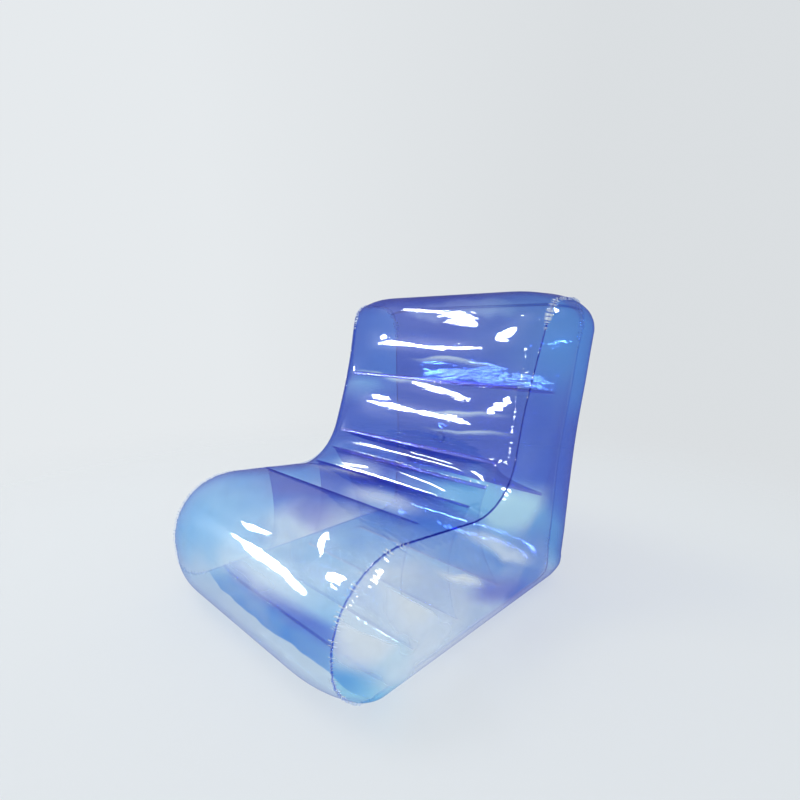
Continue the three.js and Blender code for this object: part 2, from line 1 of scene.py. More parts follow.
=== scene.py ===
# %% [markdown]
# # An inflatable lounge chair of clear blue film
#
# The chair is one air chamber. A front panel runs over the rolled nose, the seat and the backrest,
# a second panel closes the back and the base, and one panel closes each side. Five sheets inside
# tie seat and back to the floor and the rear, so that the film swells into channels. A small valve
# sits on the back. This lesson makes each of them as a thin closed shell of film, from the same
# driving sizes as the solids that it covers, and then gives them a finish and some light.

# %% The imported solids
import math

import bpy
import numpy as np
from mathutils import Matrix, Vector


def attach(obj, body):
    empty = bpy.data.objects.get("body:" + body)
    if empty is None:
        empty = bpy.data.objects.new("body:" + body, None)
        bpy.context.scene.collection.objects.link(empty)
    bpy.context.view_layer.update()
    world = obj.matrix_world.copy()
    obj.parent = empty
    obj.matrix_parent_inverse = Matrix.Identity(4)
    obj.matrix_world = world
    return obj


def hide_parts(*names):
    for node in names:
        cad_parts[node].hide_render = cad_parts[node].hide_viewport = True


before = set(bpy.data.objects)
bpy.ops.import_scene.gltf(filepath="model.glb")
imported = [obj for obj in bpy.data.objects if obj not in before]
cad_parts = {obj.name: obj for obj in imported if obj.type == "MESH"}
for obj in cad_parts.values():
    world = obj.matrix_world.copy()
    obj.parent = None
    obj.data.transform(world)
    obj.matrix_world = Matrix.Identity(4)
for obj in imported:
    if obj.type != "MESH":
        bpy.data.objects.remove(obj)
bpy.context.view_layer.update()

# %% [markdown]
# ## The camera
#
# The picture was taken from the front right, a little above the chair. A camera can be placed by
# eye, but the chair's seams and welds give a better way: their places in the picture fix the
# lens, the place and the tilt. The picture was cropped after it was taken, so the lens is shifted.

# %% Camera at the picture's place, with the crop as a lens shift
PICTURE_PIXELS = 800
FOCAL_PIXELS = 463.7
CENTRE_PIXEL_ACROSS = 388
CENTRE_PIXEL_DOWN = 515
SENSOR_MM = 36
CAMERA_PLACE = (0.7421, -0.6948, 0.5798)
CAMERA_TURN = math.radians(44.967)
CAMERA_DIP = math.radians(21.974)

camera_data = bpy.data.cameras.new("picture_camera")
camera = bpy.data.objects.new("picture_camera", camera_data)
bpy.context.collection.objects.link(camera)
camera.location = CAMERA_PLACE
camera.rotation_euler = (math.pi / 2 - CAMERA_DIP, 0, CAMERA_TURN)
camera_data.sensor_width = SENSOR_MM
camera_data.lens = FOCAL_PIXELS / PICTURE_PIXELS * SENSOR_MM
camera_data.shift_x = (PICTURE_PIXELS / 2 - CENTRE_PIXEL_ACROSS) / PICTURE_PIXELS
camera_data.shift_y = (CENTRE_PIXEL_DOWN - PICTURE_PIXELS / 2) / PICTURE_PIXELS
camera_data.clip_start = 0.01
bpy.context.scene.camera = camera
print("lens", round(camera_data.lens, 2), "mm")

# %% [markdown]
# ## The outline
#
# Seen from the side, the chair is a line of straight runs and round corners. It is written as six
# corners with a radius each, in metres, and every place on it is named by its distance along the
# line. The run starts under the front edge and goes up the nose, back over the seat, up the
# backrest, over the top, down the rear and forward under the chair.

# %% Driving sizes of the side outline, in metres
WIDTH = 0.6731
SEAT_DEPTH = 0.4633
BACK_DEPTH = 0.2962
HEIGHT = 0.6502
NOSE_HEIGHT = 0.2976
CROOK_HEIGHT = 0.2505
BACK_LEAN = 0.1193
FRONT_Y = -(SEAT_DEPTH + BACK_DEPTH) / 2
REAR_Y = -FRONT_Y
CROOK_Y = FRONT_Y + SEAT_DEPTH
HALF_WIDTH = WIDTH / 2
CORNERS = [
    ("front_bottom", FRONT_Y, 0.0, 0.088),
    ("nose", FRONT_Y, NOSE_HEIGHT, 0.1643),
    ("crook", CROOK_Y, CROOK_HEIGHT, 0.114),
    ("top_front", CROOK_Y + BACK_LEAN, HEIGHT, 0.0584),
    ("top_rear", REAR_Y, HEIGHT, 0.0831),
    ("rear_bottom", REAR_Y, 0.0, 0.0749),
]


def rounded_corner(index):
    """Start and end of one corner's arc, its heading at the start and how far it turns."""
    name, y, z, radius = CORNERS[index]
    corner = np.array([y, z])
    before = np.array(CORNERS[index - 1][1:3])
    after = np.array(CORNERS[(index + 1) % len(CORNERS)][1:3])
    arriving = (corner - before) / np.linalg.norm(corner - before)
    leaving = (after - corner) / np.linalg.norm(after - corner)
    turn = math.atan2(arriving[0] * leaving[1] - arriving[1] * leaving[0], arriving @ leaving)
    reach = radius * math.tan(abs(turn) / 2)
    heading = math.atan2(arriving[1], arriving[0])
    return name, corner - arriving * reach, corner + leaving * reach, heading, turn, radius


def outline_pieces():
    """Arcs and straight runs in order: name, start, heading, turn and length of each."""
    rounded = [rounded_corner(index) for index in range(len(CORNERS))]
    made = []
    for index, (name, start, end, heading, turn, radius) in enumerate(rounded):
        following = rounded[(index + 1) % len(rounded)][1]
        made.append((name + "_arc", start, heading, turn, abs(turn) * radius))
        made.append((name + "_run", end, heading + turn, 0.0, np.linalg.norm(following - end)))
    return made


PIECES = outline_pieces()
STARTS = np.cumsum([0.0] + [piece[4] for piece in PIECES])
OUTLINE = STARTS[-1]


def middle_of(name):
    """Distance along the outline to the middle of one of its pieces."""
    index = [piece[0] for piece in PIECES].index(name)
    return (STARTS[index] + STARTS[index + 1]) / 2


def outline(s):
    """Places (y, z) and outward directions (y, z) of the outline at distances s."""
    s = np.mod(np.asarray(s, float), OUTLINE)
    y, z, heading = np.zeros_like(s), np.zeros_like(s), np.zeros_like(s)
    for index, (_, start, first, turn, length) in enumerate(PIECES):
        here = (s >= STARTS[index]) & (s <= STARTS[index + 1])
        rest = s[here] - STARTS[index]
        turned = turn * rest / length
        chord = rest if turn == 0 else 2 * length / turn * np.sin(turned / 2)
        y[here] = start[0] + chord * np.cos(first + turned / 2)
        z[here] = start[1] + chord * np.sin(first + turned / 2)
        heading[here] = first + turned
    return y, z, -np.sin(heading), np.cos(heading)


NOSE_TIP = middle_of("front_bottom_run")
TOP_TIP = middle_of("top_front_run")
TOP_SEAM = middle_of("top_rear_arc")
NOSE_TIP_AGAIN = NOSE_TIP + OUTLINE
print("outline", round(OUTLINE, 4), "m round, nose tip at", round(NOSE_TIP, 4))

# %% [markdown]
# ## Rounding over into the sides
#
# The panels bend over towards the sides like a pillow's edge. A quarter of an ellipse does this
# well: it is given by how far it reaches in from the outline and how far across the width, and
# both change a little from the floor to the top, where the edge is also a little fuller. The side
# seam lies where the ellipse has turned by 45 degrees.

# %% The edge's ellipse and the seam on it
EDGE_INWARD = 0.0767
EDGE_ACROSS = 0.1746
FLOOR_EDGE_INWARD = 0.0518
FLOOR_EDGE_ACROSS = 0.1183
TOP_EDGE_ACROSS = 0.1611
SEAM_ANGLE = math.pi / 4
BACK_NARROWING = 0.0119
REAR_NARROWING = 0.0147
BACK_NARROWING_SPAN = (0.25, 0.45)
REAR_NARROWING_SPAN = (0.25, 0.37)
TOP_EDGE_SPAN = (0.5, 0.62)
FLOOR_EDGE_CEILING = 0.15
WAIST = 0.006
WAIST_HEIGHT_SPAN = (0.08, 0.52)
WAIST_DEPTH_SPAN = (0.12, 0.34)
TOP_FULLNESS = 0.3


def smooth_step(start, end, value):
    """0 before start, 1 after end, and a soft rise between them."""
    share = np.clip((value - start) / (end - start), 0, 1)
    return share * share * (3 - 2 * share)


def side_half_width(y, z):
    """Half the chair's width at its fullest, at a place of the side view."""
    back = smooth_step(*BACK_NARROWING_SPAN, z)
    rear = smooth_step(*REAR_NARROWING_SPAN, y)
    low, high = WAIST_HEIGHT_SPAN
    height_share = np.clip((z - low) / (high - low), 0, 1)
    waist = WAIST * np.sin(math.pi * height_share) ** 2 * smooth_step(*WAIST_DEPTH_SPAN, y)
    return HALF_WIDTH - BACK_NARROWING * back - REAR_NARROWING * rear * (1 - back) - waist


def rounding(s):
    """Everything about the edge at distances s, as a dictionary of arrays."""
    y, z, ny, nz = outline(s)
    floor = np.where(z < FLOOR_EDGE_CEILING, np.clip(-nz, 0, 1) ** 2, 0)
    top = smooth_step(*TOP_EDGE_SPAN, z)
    inward = EDGE_INWARD + (FLOOR_EDGE_INWARD - EDGE_INWARD) * floor
    across = (EDGE_ACROSS + (FLOOR_EDGE_ACROSS - EDGE_ACROSS) * floor
              + (TOP_EDGE_ACROSS - EDGE_ACROSS) * top)
    power = 2 + TOP_FULLNESS * top
    seam_inset = inward * (1 - (1 - math.sin(SEAM_ANGLE) ** power) ** (1 / power))
    half = side_half_width(y - ny * seam_inset, z - nz * seam_inset)
    seam_across = half - across * (1 - math.sin(SEAM_ANGLE))
    return {"y": y, "z": z, "ny": ny, "nz": nz, "inward": inward, "across": across, "half": half,
            "power": power, "seam_inset": seam_inset, "seam_across": seam_across}


def edge_inset(edge, x):
    """How far the skin lies in from the outline at places x across the width."""
    into = np.clip((np.abs(x) - (edge["half"] - edge["across"])) / edge["across"], 0, 1)
    return edge["inward"] * (1 - (1 - into ** edge["power"]) ** (1 / edge["power"]))


seam_widths = rounding(np.linspace(0, OUTLINE, 200))["seam_across"]
print("seams", round(2 * seam_widths.min(), 3), "to", round(2 * seam_widths.max(), 3), "m apart")

# %% [markdown]
# ## The welds
#
# Each tie sheet is welded along a straight band, once under the seat or backrest and once to the
# floor or the rear. The band holds the film down, and between two bands the air lifts it into an
# arc. Above the top band it swells most. Modelled air pressure would give such arcs too, but not
# where the picture shows them, so they are written as curves. A weld is placed by its share of
# the way along the outline, and ends short of the seam.

# %% Welds of the five tie sheets
WELD_BAND = 0.008
WELD_FADE = 0.025
LEAST_WELD_DEPTH = 0.008
WIDE_VALLEY = 0.085
FLOOR_VALLEY = 0.06
CHANNEL_CREST = 0.006
CREST_FADE = 0.092
TOP_SWELL = 0.011
TOP_SWELL_FADE = (0.12, 0.30)
FILM = 0.00035
FRONT_MARGIN = 0.0865
REAR_MARGIN = 0.1045
FLOOR_MARGIN = 0.0745
FLOOR_REAR_MARGIN = 0.0885
# Each tie's name, its near and its far weld's share of the way from the nose tip to the top, the
# far weld's margin, and the way along the outline that its flanges point
TIES = [
    ("front_seat", 0.3566, 0.1974, FLOOR_MARGIN, -1),
    ("rear_seat", 0.5042, 0.2892, FLOOR_MARGIN, -1),
    ("crook", 0.5606, 0.409, FLOOR_REAR_MARGIN, -1),
    ("lower_back", 0.6119, 0.6461, REAR_MARGIN, 1),
    ("upper_back", 0.7618, 0.8118, REAR_MARGIN, 1),
]
FLOOR_SEAM_SHARE = 0.1341


def over_seat(share):
    """Distance along the outline at a share of the way from the nose tip over the seat to the top."""
    return NOSE_TIP + (TOP_TIP - NOSE_TIP) * share


def under_floor(share):
    """Distance along the outline at a share of the way from the nose tip underneath to the top."""
    return NOSE_TIP_AGAIN + (TOP_TIP - NOSE_TIP_AGAIN) * share


def make_weld(distance, margin):
    """One weld: its distance along the outline, half its length and how deep it pulls."""
    half = HALF_WIDTH - margin
    depth = max(float(edge_inset(rounding(distance), half)), LEAST_WELD_DEPTH)
    return {"distance": distance, "half": half, "depth": depth}


ties = []
for name, near_share, far_share, far_margin, flange_way in TIES:
    near = make_weld(over_seat(near_share), FRONT_MARGIN)
    far = make_weld(under_floor(far_share), far_margin)
    ties.append({"name": name, "near": near, "far": far, "flange_way": flange_way})

welds = sorted([tie[end] for tie in ties for end in ("near", "far")], key=lambda w: w["distance"])
for before, weld, after in zip([None] + welds[:-1], welds, welds[1:] + [None]):
    on_floor = outline(weld["distance"])[1] < FILM
    widest = FLOOR_VALLEY if on_floor else WIDE_VALLEY
    weld["reach"] = []
    for other in (before, after):
        room = (abs(other["distance"] - weld["distance"]) - WELD_BAND) / 2 if other else widest
        weld["reach"].append(min(widest, room))
FLOOR_SEAM = under_floor(FLOOR_SEAM_SHARE)
FIRST_WELD = ties[0]["near"]["distance"]
LAST_WELD = ties[-1]["near"]["distance"]
TOP_SWELL_LENGTH = middle_of("top_front_arc") - LAST_WELD
print("welds at", [round(w["distance"], 3) for w in welds])


# %% The skin between the welds
def weld_share(weld, s):
    """1 on the weld's band, falling to 0 halfway to the next weld."""
    away = s - weld["distance"]
    reach = np.where(away < 0, weld["reach"][0], weld["reach"][1])
    outside = np.abs(away) - WELD_BAND / 2
    return np.where(outside <= 0, 1.0, np.clip(1 - outside / reach, 0, 1) ** 2)


def skin_lift(edge, s, x):
    """Height of the skin over the outline: the edge's rounding, the channels and their crests."""
    inset = edge_inset(edge, x)
    valley, pinned = np.zeros_like(inset), np.zeros_like(inset)
    for weld in welds:
        share = weld_share(weld, s)
        extra = np.maximum(0, weld["depth"] - inset)
        fade = 1 - smooth_step(weld["half"], weld["half"] + WELD_FADE, np.abs(x))
        valley = np.maximum(valley, extra * fade * share)
        pinned = np.maximum(pinned, share)
    outside = np.maximum(np.maximum(FIRST_WELD - s, s - LAST_WELD), 0)
    along = 1 - smooth_step(0, CREST_FADE, outside)
    across = np.maximum(0, 1 - (x / (HALF_WIDTH - FRONT_MARGIN)) ** 2)
    lift = CHANNEL_CREST * along * across * (1 - pinned) - inset - valley
    top_share = np.clip((s - LAST_WELD) / TOP_SWELL_LENGTH, 0, 1)
    fullness = 1 - smooth_step(*TOP_SWELL_FADE, np.abs(x))
    return lift + TOP_SWELL * np.sin(math.pi * top_share) ** 2 * fullness


def skin(s, x):
    """Points of the wrapped skin at distances s (one a row) and places x (rows by columns)."""
    column = np.mod(np.asarray(s, float), OUTLINE)[:, None]
    edge = {key: value[:, None] for key, value in rounding(s).items()}
    lift = skin_lift(edge, column, x)
    return np.stack([x, edge["y"] + edge["ny"] * lift, edge["z"] + edge["nz"] * lift], axis=-1)


print("nose point", skin(np.array([NOSE_TIP]), np.zeros((1, 1)))[0, 0].round(4))

# %% [markdown]
# ## Shells of film
#
# A sheet of film could be a single surface, but a real one has two faces, and light is tinted by
# what lies between them. So each panel is a grid of points on its outer face, moved in by the
# film's thickness for the inner face, and closed all round its rim.

# %% Grid of points to a closed shell of film
def unit(vectors):
    """The same directions with length one."""
    return vectors / np.maximum(np.linalg.norm(vectors, axis=-1, keepdims=True), 1e-12)


def grid_normals(points, loop=False):
    """Directions square to a grid of points, from its neighbours along rows and columns."""
    if loop:
        along = np.roll(points, -1, axis=0) - np.roll(points, 1, axis=0)
    else:
        along = np.gradient(points, axis=0)
    return unit(np.cross(along, np.gradient(points, axis=1)))


def rim_faces(quads, count):
    """Faces that join the outer and inner face along every open edge."""
    start = quads.reshape(-1)
    end = np.roll(quads, -1, axis=1).reshape(-1)
    key, back = start * count + end, end * count + start
    edge = (~np.isin(key, back)) & (start != end)
    start, end = start[edge], end[edge]
    return np.stack([end, start, start + count, end + count], axis=1)


def linked(name, mesh):
    """The smooth-shaded object of a mesh, in the scene."""
    mesh.validate()
    mesh.shade_smooth()
    piece = bpy.data.objects.new(name, mesh)
    bpy.context.collection.objects.link(piece)
    print(name, len(mesh.vertices), "points", len(mesh.polygons), "faces")
    return piece


SEAM_RUNS = "seam_runs"


def open_shell(name, points, keep=None, loop=False, extra=(), welded=None, runs=None):
    """A closed shell of film whose outer face is a grid with its normals pointing out.

    welded numbers each face's finish: 0 for film, 1 where two films are welded together, and 2
    for the pressed middle of a weld band, whose finish paints a highlight along the weld's bead.
    runs gives each point's distance along the seam and away from it, for the finish.
    """
    rows, columns = points.shape[:2]
    normals = grid_normals(points, loop)
    index = np.arange(rows * columns).reshape(rows, columns)
    ring = np.vstack([index, index[:1]]) if loop else index
    quads = np.stack([ring[:-1, :-1], ring[1:, :-1], ring[1:, 1:], ring[:-1, 1:]], axis=-1)
    quads = quads.reshape(-1, 4)
    marked = np.zeros(len(quads), int) if welded is None else welded.reshape(-1)
    if keep is not None:
        quads, marked = quads[keep.reshape(-1)], marked[keep.reshape(-1)]
    if len(extra):
        quads = np.vstack([quads, extra])
        marked = np.concatenate([marked, np.zeros(len(extra), int)])
    count = rows * columns
    outer = points.reshape(-1, 3)
    inner = outer - normals.reshape(-1, 3) * FILM
    rims = rim_faces(quads, count)
    faces = np.vstack([quads, quads[:, ::-1] + count, rims])
    marked = np.concatenate([marked, marked, np.zeros(len(rims), int)])
    flat_runs = None if runs is None else np.tile(runs.reshape(-1, 2), (2, 1))
    return mesh_object(name, np.vstack([outer, inner]), faces, marked, flat_runs)


def mesh_object(name, vertices, faces, marked=None, runs=None):
    """A smooth-shaded mesh from points and four-cornered faces, with its marks and seam runs."""
    used = np.unique(faces)
    moved = np.full(len(vertices), -1)
    moved[used] = np.arange(len(used))
    corners = [list(dict.fromkeys(face)) for face in moved[faces].tolist()]
    mesh = bpy.data.meshes.new(name)
    mesh.from_pydata(vertices[used].tolist(), [], corners)
    if marked is not None:
        mesh.polygons.foreach_set("material_index", marked.astype(np.int32))
    piece = linked(name, mesh)
    if runs is not None:
        corner_points = np.zeros(len(mesh.loops), np.int32)
        mesh.loops.foreach_get("vertex_index", corner_points)
        layer = mesh.uv_layers.new(name=SEAM_RUNS)
        layer.data.foreach_set("uv", runs[used][corner_points].astype(np.float32).reshape(-1))
    return piece


print("film", FILM, "m thick")

# %% [markdown]
# ## Puckers and creases
#
# Where a seam runs round a bend, one film has to take up more length than the other, so it gathers
# into small puckers square to the seam. Where a weld ends, the film goes from held down to free
# within a finger's width, and creases fan out from the end. Both are a few millimetres wide, and
# the glints on them are what makes film look like film, so they are shaped and not only painted.

# %% Puckers along the side seams
PUCKER_LENGTHS = (0.0098, 0.0142, 0.0215, 0.034)
PUCKER_HEIGHTS = (0.0007, 0.0008, 0.0007, 0.0008)
PUCKER_REACH_SHARE = 0.85
QUIET_PUCKER_SHARE = 0.25
PUCKER_SHIFT = 0.9
PUCKER_SHIFT_LENGTHS = (0.21, 0.13, 0.083)
PUCKER_GROUP_LENGTHS = (0.11, 0.067, 0.043)
PUCKER_GROUP_SHARE = 0.55
PUCKER_GROUP_SWING = 0.75
LEFT_PUCKER_SEED = 40
RIGHT_PUCKER_SEED = 50
SHIFT_SEED_STEP = 100
BEND_CORE_SHARE = 0.4
BEND_FADE = 0.06


def wander(s, lengths, seed):
    """A smooth wave from -1 to 1 with no beat that repeats within the outline."""
    random = np.random.default_rng(seed)
    total = np.zeros_like(s)
    for length in lengths:
        turns = round(OUTLINE / length)
        total = total + np.sin(2 * math.pi * turns * s / OUTLINE + random.uniform(0, 2 * math.pi))
    return total / len(lengths)


def bend_share(s):
    """1 where the outline bends outward, 0 on its straight runs."""
    s = np.mod(s, OUTLINE)
    share = np.zeros_like(s)
    for name, _, _, _, length in PIECES:
        if not name.endswith("_arc") or name.startswith("crook"):
            continue
        away = np.abs(np.mod(s - middle_of(name) + OUTLINE / 2, OUTLINE) - OUTLINE / 2)
        core = length * BEND_CORE_SHARE
        share = np.maximum(share, 1 - smooth_step(core, core + BEND_FADE, away))
    return share


def pucker(s, away, side):
    """Height of the puckers at distances s along the seam and away from it."""
    strength = QUIET_PUCKER_SHARE + (1 - QUIET_PUCKER_SHARE) * bend_share(s)
    total = np.zeros(np.broadcast(s, away).shape)
    for order, (length, height) in enumerate(zip(PUCKER_LENGTHS, PUCKER_HEIGHTS)):
        seed = order + (RIGHT_PUCKER_SEED if side > 0 else LEFT_PUCKER_SEED)
        turns = round(OUTLINE / length)
        shift = PUCKER_SHIFT * wander(s, PUCKER_SHIFT_LENGTHS, seed + SHIFT_SEED_STEP)
        wave = np.cos(2 * math.pi * turns * s / OUTLINE + 2 * math.pi * shift)
        swing = PUCKER_GROUP_SWING * wander(s, PUCKER_GROUP_LENGTHS, seed)
        groups = np.clip(PUCKER_GROUP_SHARE + swing, 0, 1)
        total = total + height * wave * groups * np.exp(-away / (length * PUCKER_REACH_SHARE))
    return total * strength


seam_heights = pucker(np.linspace(0, OUTLINE, 2000), np.zeros(2000), 1)
print("tallest pucker", round(float(seam_heights.max()), 5), "m")

# %% Creases that fan out from the ends of the welds
CREASES_AT_AN_END = 7
CREASE_SEED = 700
CREASE_AREA = 0.12
CREASE_FAN = 2.1
CREASE_REACH = 0.026
CREASE_REACH_SHARES = (0.6, 1.3)
CREASE_HEIGHT = 0.0016
CREASE_HEIGHT_SHARES = (0.4, 1.0)
CREASE_WIDTH = 0.0028
CREASE_WIDENING = 0.12
CREASE_START = 0.004


def weld_creases(s, x):
    """Height of the creases round both ends of every weld."""
    total = np.zeros(np.broadcast(s, x).shape)
    for number, weld in enumerate(welds):
        for side in (-1, 1):
            random = np.random.default_rng(CREASE_SEED + number * 2 + (side > 0))
            along, out = np.broadcast_arrays(s - weld["distance"], side * x - weld["half"])
            near = (np.abs(along) < CREASE_AREA) & (np.abs(out) < CREASE_AREA)
            radius = np.hypot(along[near], out[near]) + 1e-6
            angle = np.arctan2(along[near], out[near])
            start = radius / (radius + CREASE_START)
            height = np.zeros_like(radius)
            for _ in range(CREASES_AT_AN_END):
                way = random.uniform(-CREASE_FAN, CREASE_FAN)
                size = random.uniform(*CREASE_HEIGHT_SHARES) * random.choice([-1, 1])
                reach = CREASE_REACH * random.uniform(*CREASE_REACH_SHARES)
                across = radius * np.sin(angle - way)
                width = CREASE_WIDTH + CREASE_WIDENING * radius
                ridge = np.exp(-((across / width) ** 2)) * (np.cos(angle - way) > 0)
                height = height + size * ridge * start * np.exp(-radius / reach)
            total[near] = total[near] + CREASE_HEIGHT * height
    return total


print("creases", CREASES_AT_AN_END, "at each end of", len(welds), "welds")

# %% The band of a weld: two pressed lines, rounded ends and a few dots
PRESS_DEPTH = 0.0005
PRESS_WIDTH = 0.0009
DOT_RADIUS = 0.0011
DOT_STEPS = (0.0, 0.006, 0.012)


def weld_press(s, x):
    """Depth of the marks that the welding bar leaves."""
    total = np.zeros(np.broadcast(s, x).shape)
    for weld in welds:
        along = s - weld["distance"]
        round_end = weld["half"] - WELD_BAND / 2
        from_line = np.hypot(along, np.maximum(np.abs(x) - round_end, 0))
        from_edge = np.abs(from_line - WELD_BAND / 2)
        total = np.maximum(total, np.exp(-((from_edge / PRESS_WIDTH) ** 2)))
        for step in DOT_STEPS:
            dot = np.hypot(along, np.abs(x) - (round_end - step))
            total = np.maximum(total, np.exp(-((dot / DOT_RADIUS) ** 2)))
    return total * PRESS_DEPTH


print("bands pressed", PRESS_DEPTH, "m deep")

# %% [markdown]
# ## The front panel, and the panel of the back and base
#
# Both are wrapped round the outline. Rows of points follow it, set closer together on the weld
# bands, and columns run from seam to seam, set closer together near the seams and over the valve.
# An even grid would need far more points to hold the narrow bands. Past the seam each panel
# turns up into the margin that the two films are welded in.

# %% Rows and columns of the wrapped panels
ROW_STEP = 0.0034
BEND_ROW_STEP = 0.0022
TOP_ROW_STEP = 0.0014
TOP_ROWS_START = HEIGHT - 0.05
BAND_CLEARANCE = 0.009
BAND_STEPS = (-0.0079, -0.0062, -0.0049, -0.004, -0.0031, -0.0018, 0, 0.0018, 0.0031, 0.004,
              0.0049, 0.0062, 0.0079)
SEAM_MARGIN = 0.004
SEAM_GAP = 0.0003
MARGIN_SHARES = (0.12, 0.4, 0.7, 1.0)
MARGIN_COLUMNS = len(MARGIN_SHARES)
MARGIN_WAVE = 0.0007
MARGIN_WAVE_LENGTHS = (0.031, 0.019, 0.012)
MARGIN_WAVE_SEED = 5
BEAD_COLUMNS = 1
MIDDLE_SHARE = 0.74
MIDDLE_COLUMNS = 13
EDGE_COLUMNS = 26
EDGE_CROWDING = 1.3


def row_places(start, end):
    """Distances of the rows from start to end, closer together on the weld bands."""
    places = [start]
    while places[-1] < end - TOP_ROW_STEP:
        here = np.array(places[-1])
        top = outline(here)[1] > TOP_ROWS_START
        step = TOP_ROW_STEP if top else BEND_ROW_STEP if bend_share(here) > 0.5 else ROW_STEP
        places.append(places[-1] + step)
    places[-1] = end
    for weld in welds:
        if start < weld["distance"] < end:
            places = [p for p in places if abs(p - weld["distance"]) > BAND_CLEARANCE]
            places += [weld["distance"] + step for step in BAND_STEPS]
    return np.array(sorted(places))


def column_shares(extra=()):
    """Places across the width as shares of the way from the middle to each seam."""
    inner = np.linspace(0, MIDDLE_SHARE, MIDDLE_COLUMNS)
    even = np.linspace(0, 1, EDGE_COLUMNS + 1)[1:]
    outer = MIDDLE_SHARE + (1 - MIDDLE_SHARE) * (1 - (1 - even) ** EDGE_CROWDING)
    half = np.concatenate([inner, outer])
    whole = np.concatenate([-half[::-1], half[1:], np.asarray(extra)])
    return np.unique(whole.round(6))


def outward_rows(edge):
    """Directions out of the chair, one for each row of a panel's grid."""
    return np.stack([np.zeros_like(edge["y"]), edge["ny"], edge["nz"]], axis=-1)[:, None]


def flat_seam(edge):
    """Places of the seam in the side view."""
    return np.stack([edge["y"] - edge["ny"] * edge["seam_inset"],
                     edge["z"] - edge["nz"] * edge["seam_inset"]], axis=-1)


def seam_frame(s, side):
    """Places on a seam, the way its margin stands out, and the way across it."""
    edge = rounding(s)
    place = np.column_stack([side * edge["seam_across"], flat_seam(edge)])
    flat = outward_rows(edge)[:, 0]
    width = np.array([side, 0.0, 0.0])
    sine, cosine = math.sin(SEAM_ANGLE), math.cos(SEAM_ANGLE)
    across, inward = edge["across"][:, None], edge["inward"][:, None]
    out = unit(width * sine / across + flat * cosine / inward)
    over = unit(width * cosine * across - flat * sine * inward)
    return place, out, over


def margin_columns(s, side, way):
    """Columns of the weld margin: way is -1 on the wrapped panels and 1 on the side panels."""
    place, out, over = seam_frame(s, side)
    wave = (wander(s, MARGIN_WAVE_LENGTHS, MARGIN_WAVE_SEED) * MARGIN_WAVE)[:, None]
    puckers = pucker(s, np.zeros_like(s), side)[:, None]
    columns = []
    for share in MARGIN_SHARES:
        height = SEAM_MARGIN * share
        shift = way * (SEAM_GAP / 2 + FILM) + wave * share
        columns.append(place + over * shift + out * (height + puckers))
    return columns


def wrapped_grid(s, shares, dimple=None):
    """Points of a wrapped panel, from its left margin to its right one."""
    edge = rounding(s)
    x = shares[None, :] * edge["seam_across"][:, None]
    points = skin(s, x)
    normals = grid_normals(points)
    normals = normals * np.sign(np.sum(normals * outward_rows(edge), axis=-1, keepdims=True))
    column = np.mod(s, OUTLINE)[:, None]
    away = edge["seam_across"][:, None] - np.abs(x)
    height = weld_creases(column, x) - weld_press(column, x)
    height = height + np.where(x > 0, pucker(column, away, 1), pucker(column, away, -1))
    if dimple is not None:
        height = height - dimple(points)
    points = points + normals * height[..., None]
    left, right = margin_columns(s, -1, -1), margin_columns(s, 1, -1)
    parts = left[::-1] + [points[:, i] for i in range(points.shape[1])] + right
    return np.stack(parts, axis=1)


front_rows = row_places(FLOOR_SEAM - OUTLINE, TOP_SEAM)
front_points = wrapped_grid(front_rows, column_shares())
print("front panel grid", front_points.shape)

# %% [markdown]
# A grid of points says nothing about which way is out on an L-shaped body, so each panel is told
# by its own outline's outward direction instead of by one middle point.

# %% Panels from their grids
PRESSED_WIDTH = 0.0037
STRAIGHT_SEAM_SHIFT = 0.009


def outward_flip(points, s):
    """True if the grid's own normals point into the chair."""
    middle = points.shape[1] // 2
    normals = grid_normals(points)[:, middle - 3:middle + 3]
    return float(np.sum(normals * outward_rows(rounding(s)))) < 0


def welded_faces(points, s):
    """Each face's number of finish on a wrapped grid: its weld bands and its seams' margins."""
    x = np.abs(points[:-1, :-1, 0] + points[1:, 1:, 0]) / 2
    middle = np.mod((s[:-1] + s[1:]) / 2, OUTLINE)[:, None]
    marked = np.zeros(x.shape, int)
    for weld in welds:
        away = np.abs(middle - weld["distance"])
        marked[(away < WELD_BAND / 2) & (x < weld["half"])] = 1
        # Pressed middles take the finish that paints a highlight along the weld's bead
        marked[(away < PRESSED_WIDTH / 2) & (x < weld["half"] - WELD_BAND / 2)] = 2
    marked[:, :MARGIN_COLUMNS + BEAD_COLUMNS] = 1
    marked[:, -MARGIN_COLUMNS - BEAD_COLUMNS:] = 1
    return marked


def seam_runs(s, away):
    """Distance along the seam, and away from it with a shift where the seam runs straight."""
    column = np.mod(s, OUTLINE)[:, None]
    shifted = away + STRAIGHT_SEAM_SHIFT * (1 - bend_share(column))
    return np.stack([np.broadcast_to(column, away.shape), shifted], axis=-1)


def wrapped_panel(name, points, s, keep=None):
    """A shell of film from a wrapped grid."""
    welded = welded_faces(points, s)
    away = np.maximum(rounding(s)["seam_across"][:, None] - np.abs(points[..., 0]), 0)
    runs = seam_runs(s, away)
    if not outward_flip(points, s):
        return open_shell(name, points, keep, welded=welded, runs=runs)
    kept = keep if keep is None else keep[:, ::-1]
    return open_shell(name, points[:, ::-1], kept, welded=welded[:, ::-1], runs=runs[:, ::-1])


front_panel = wrapped_panel("front_film", front_points, front_rows)

# %% [markdown]
# The panel of the back and base is made in the same way. The valve needs three things from it: a
# shallow dimple that keeps the valve from standing out, columns of points close together there,
# and a round hole under the flange. Its two ends are lapped inside the front panel's ends.

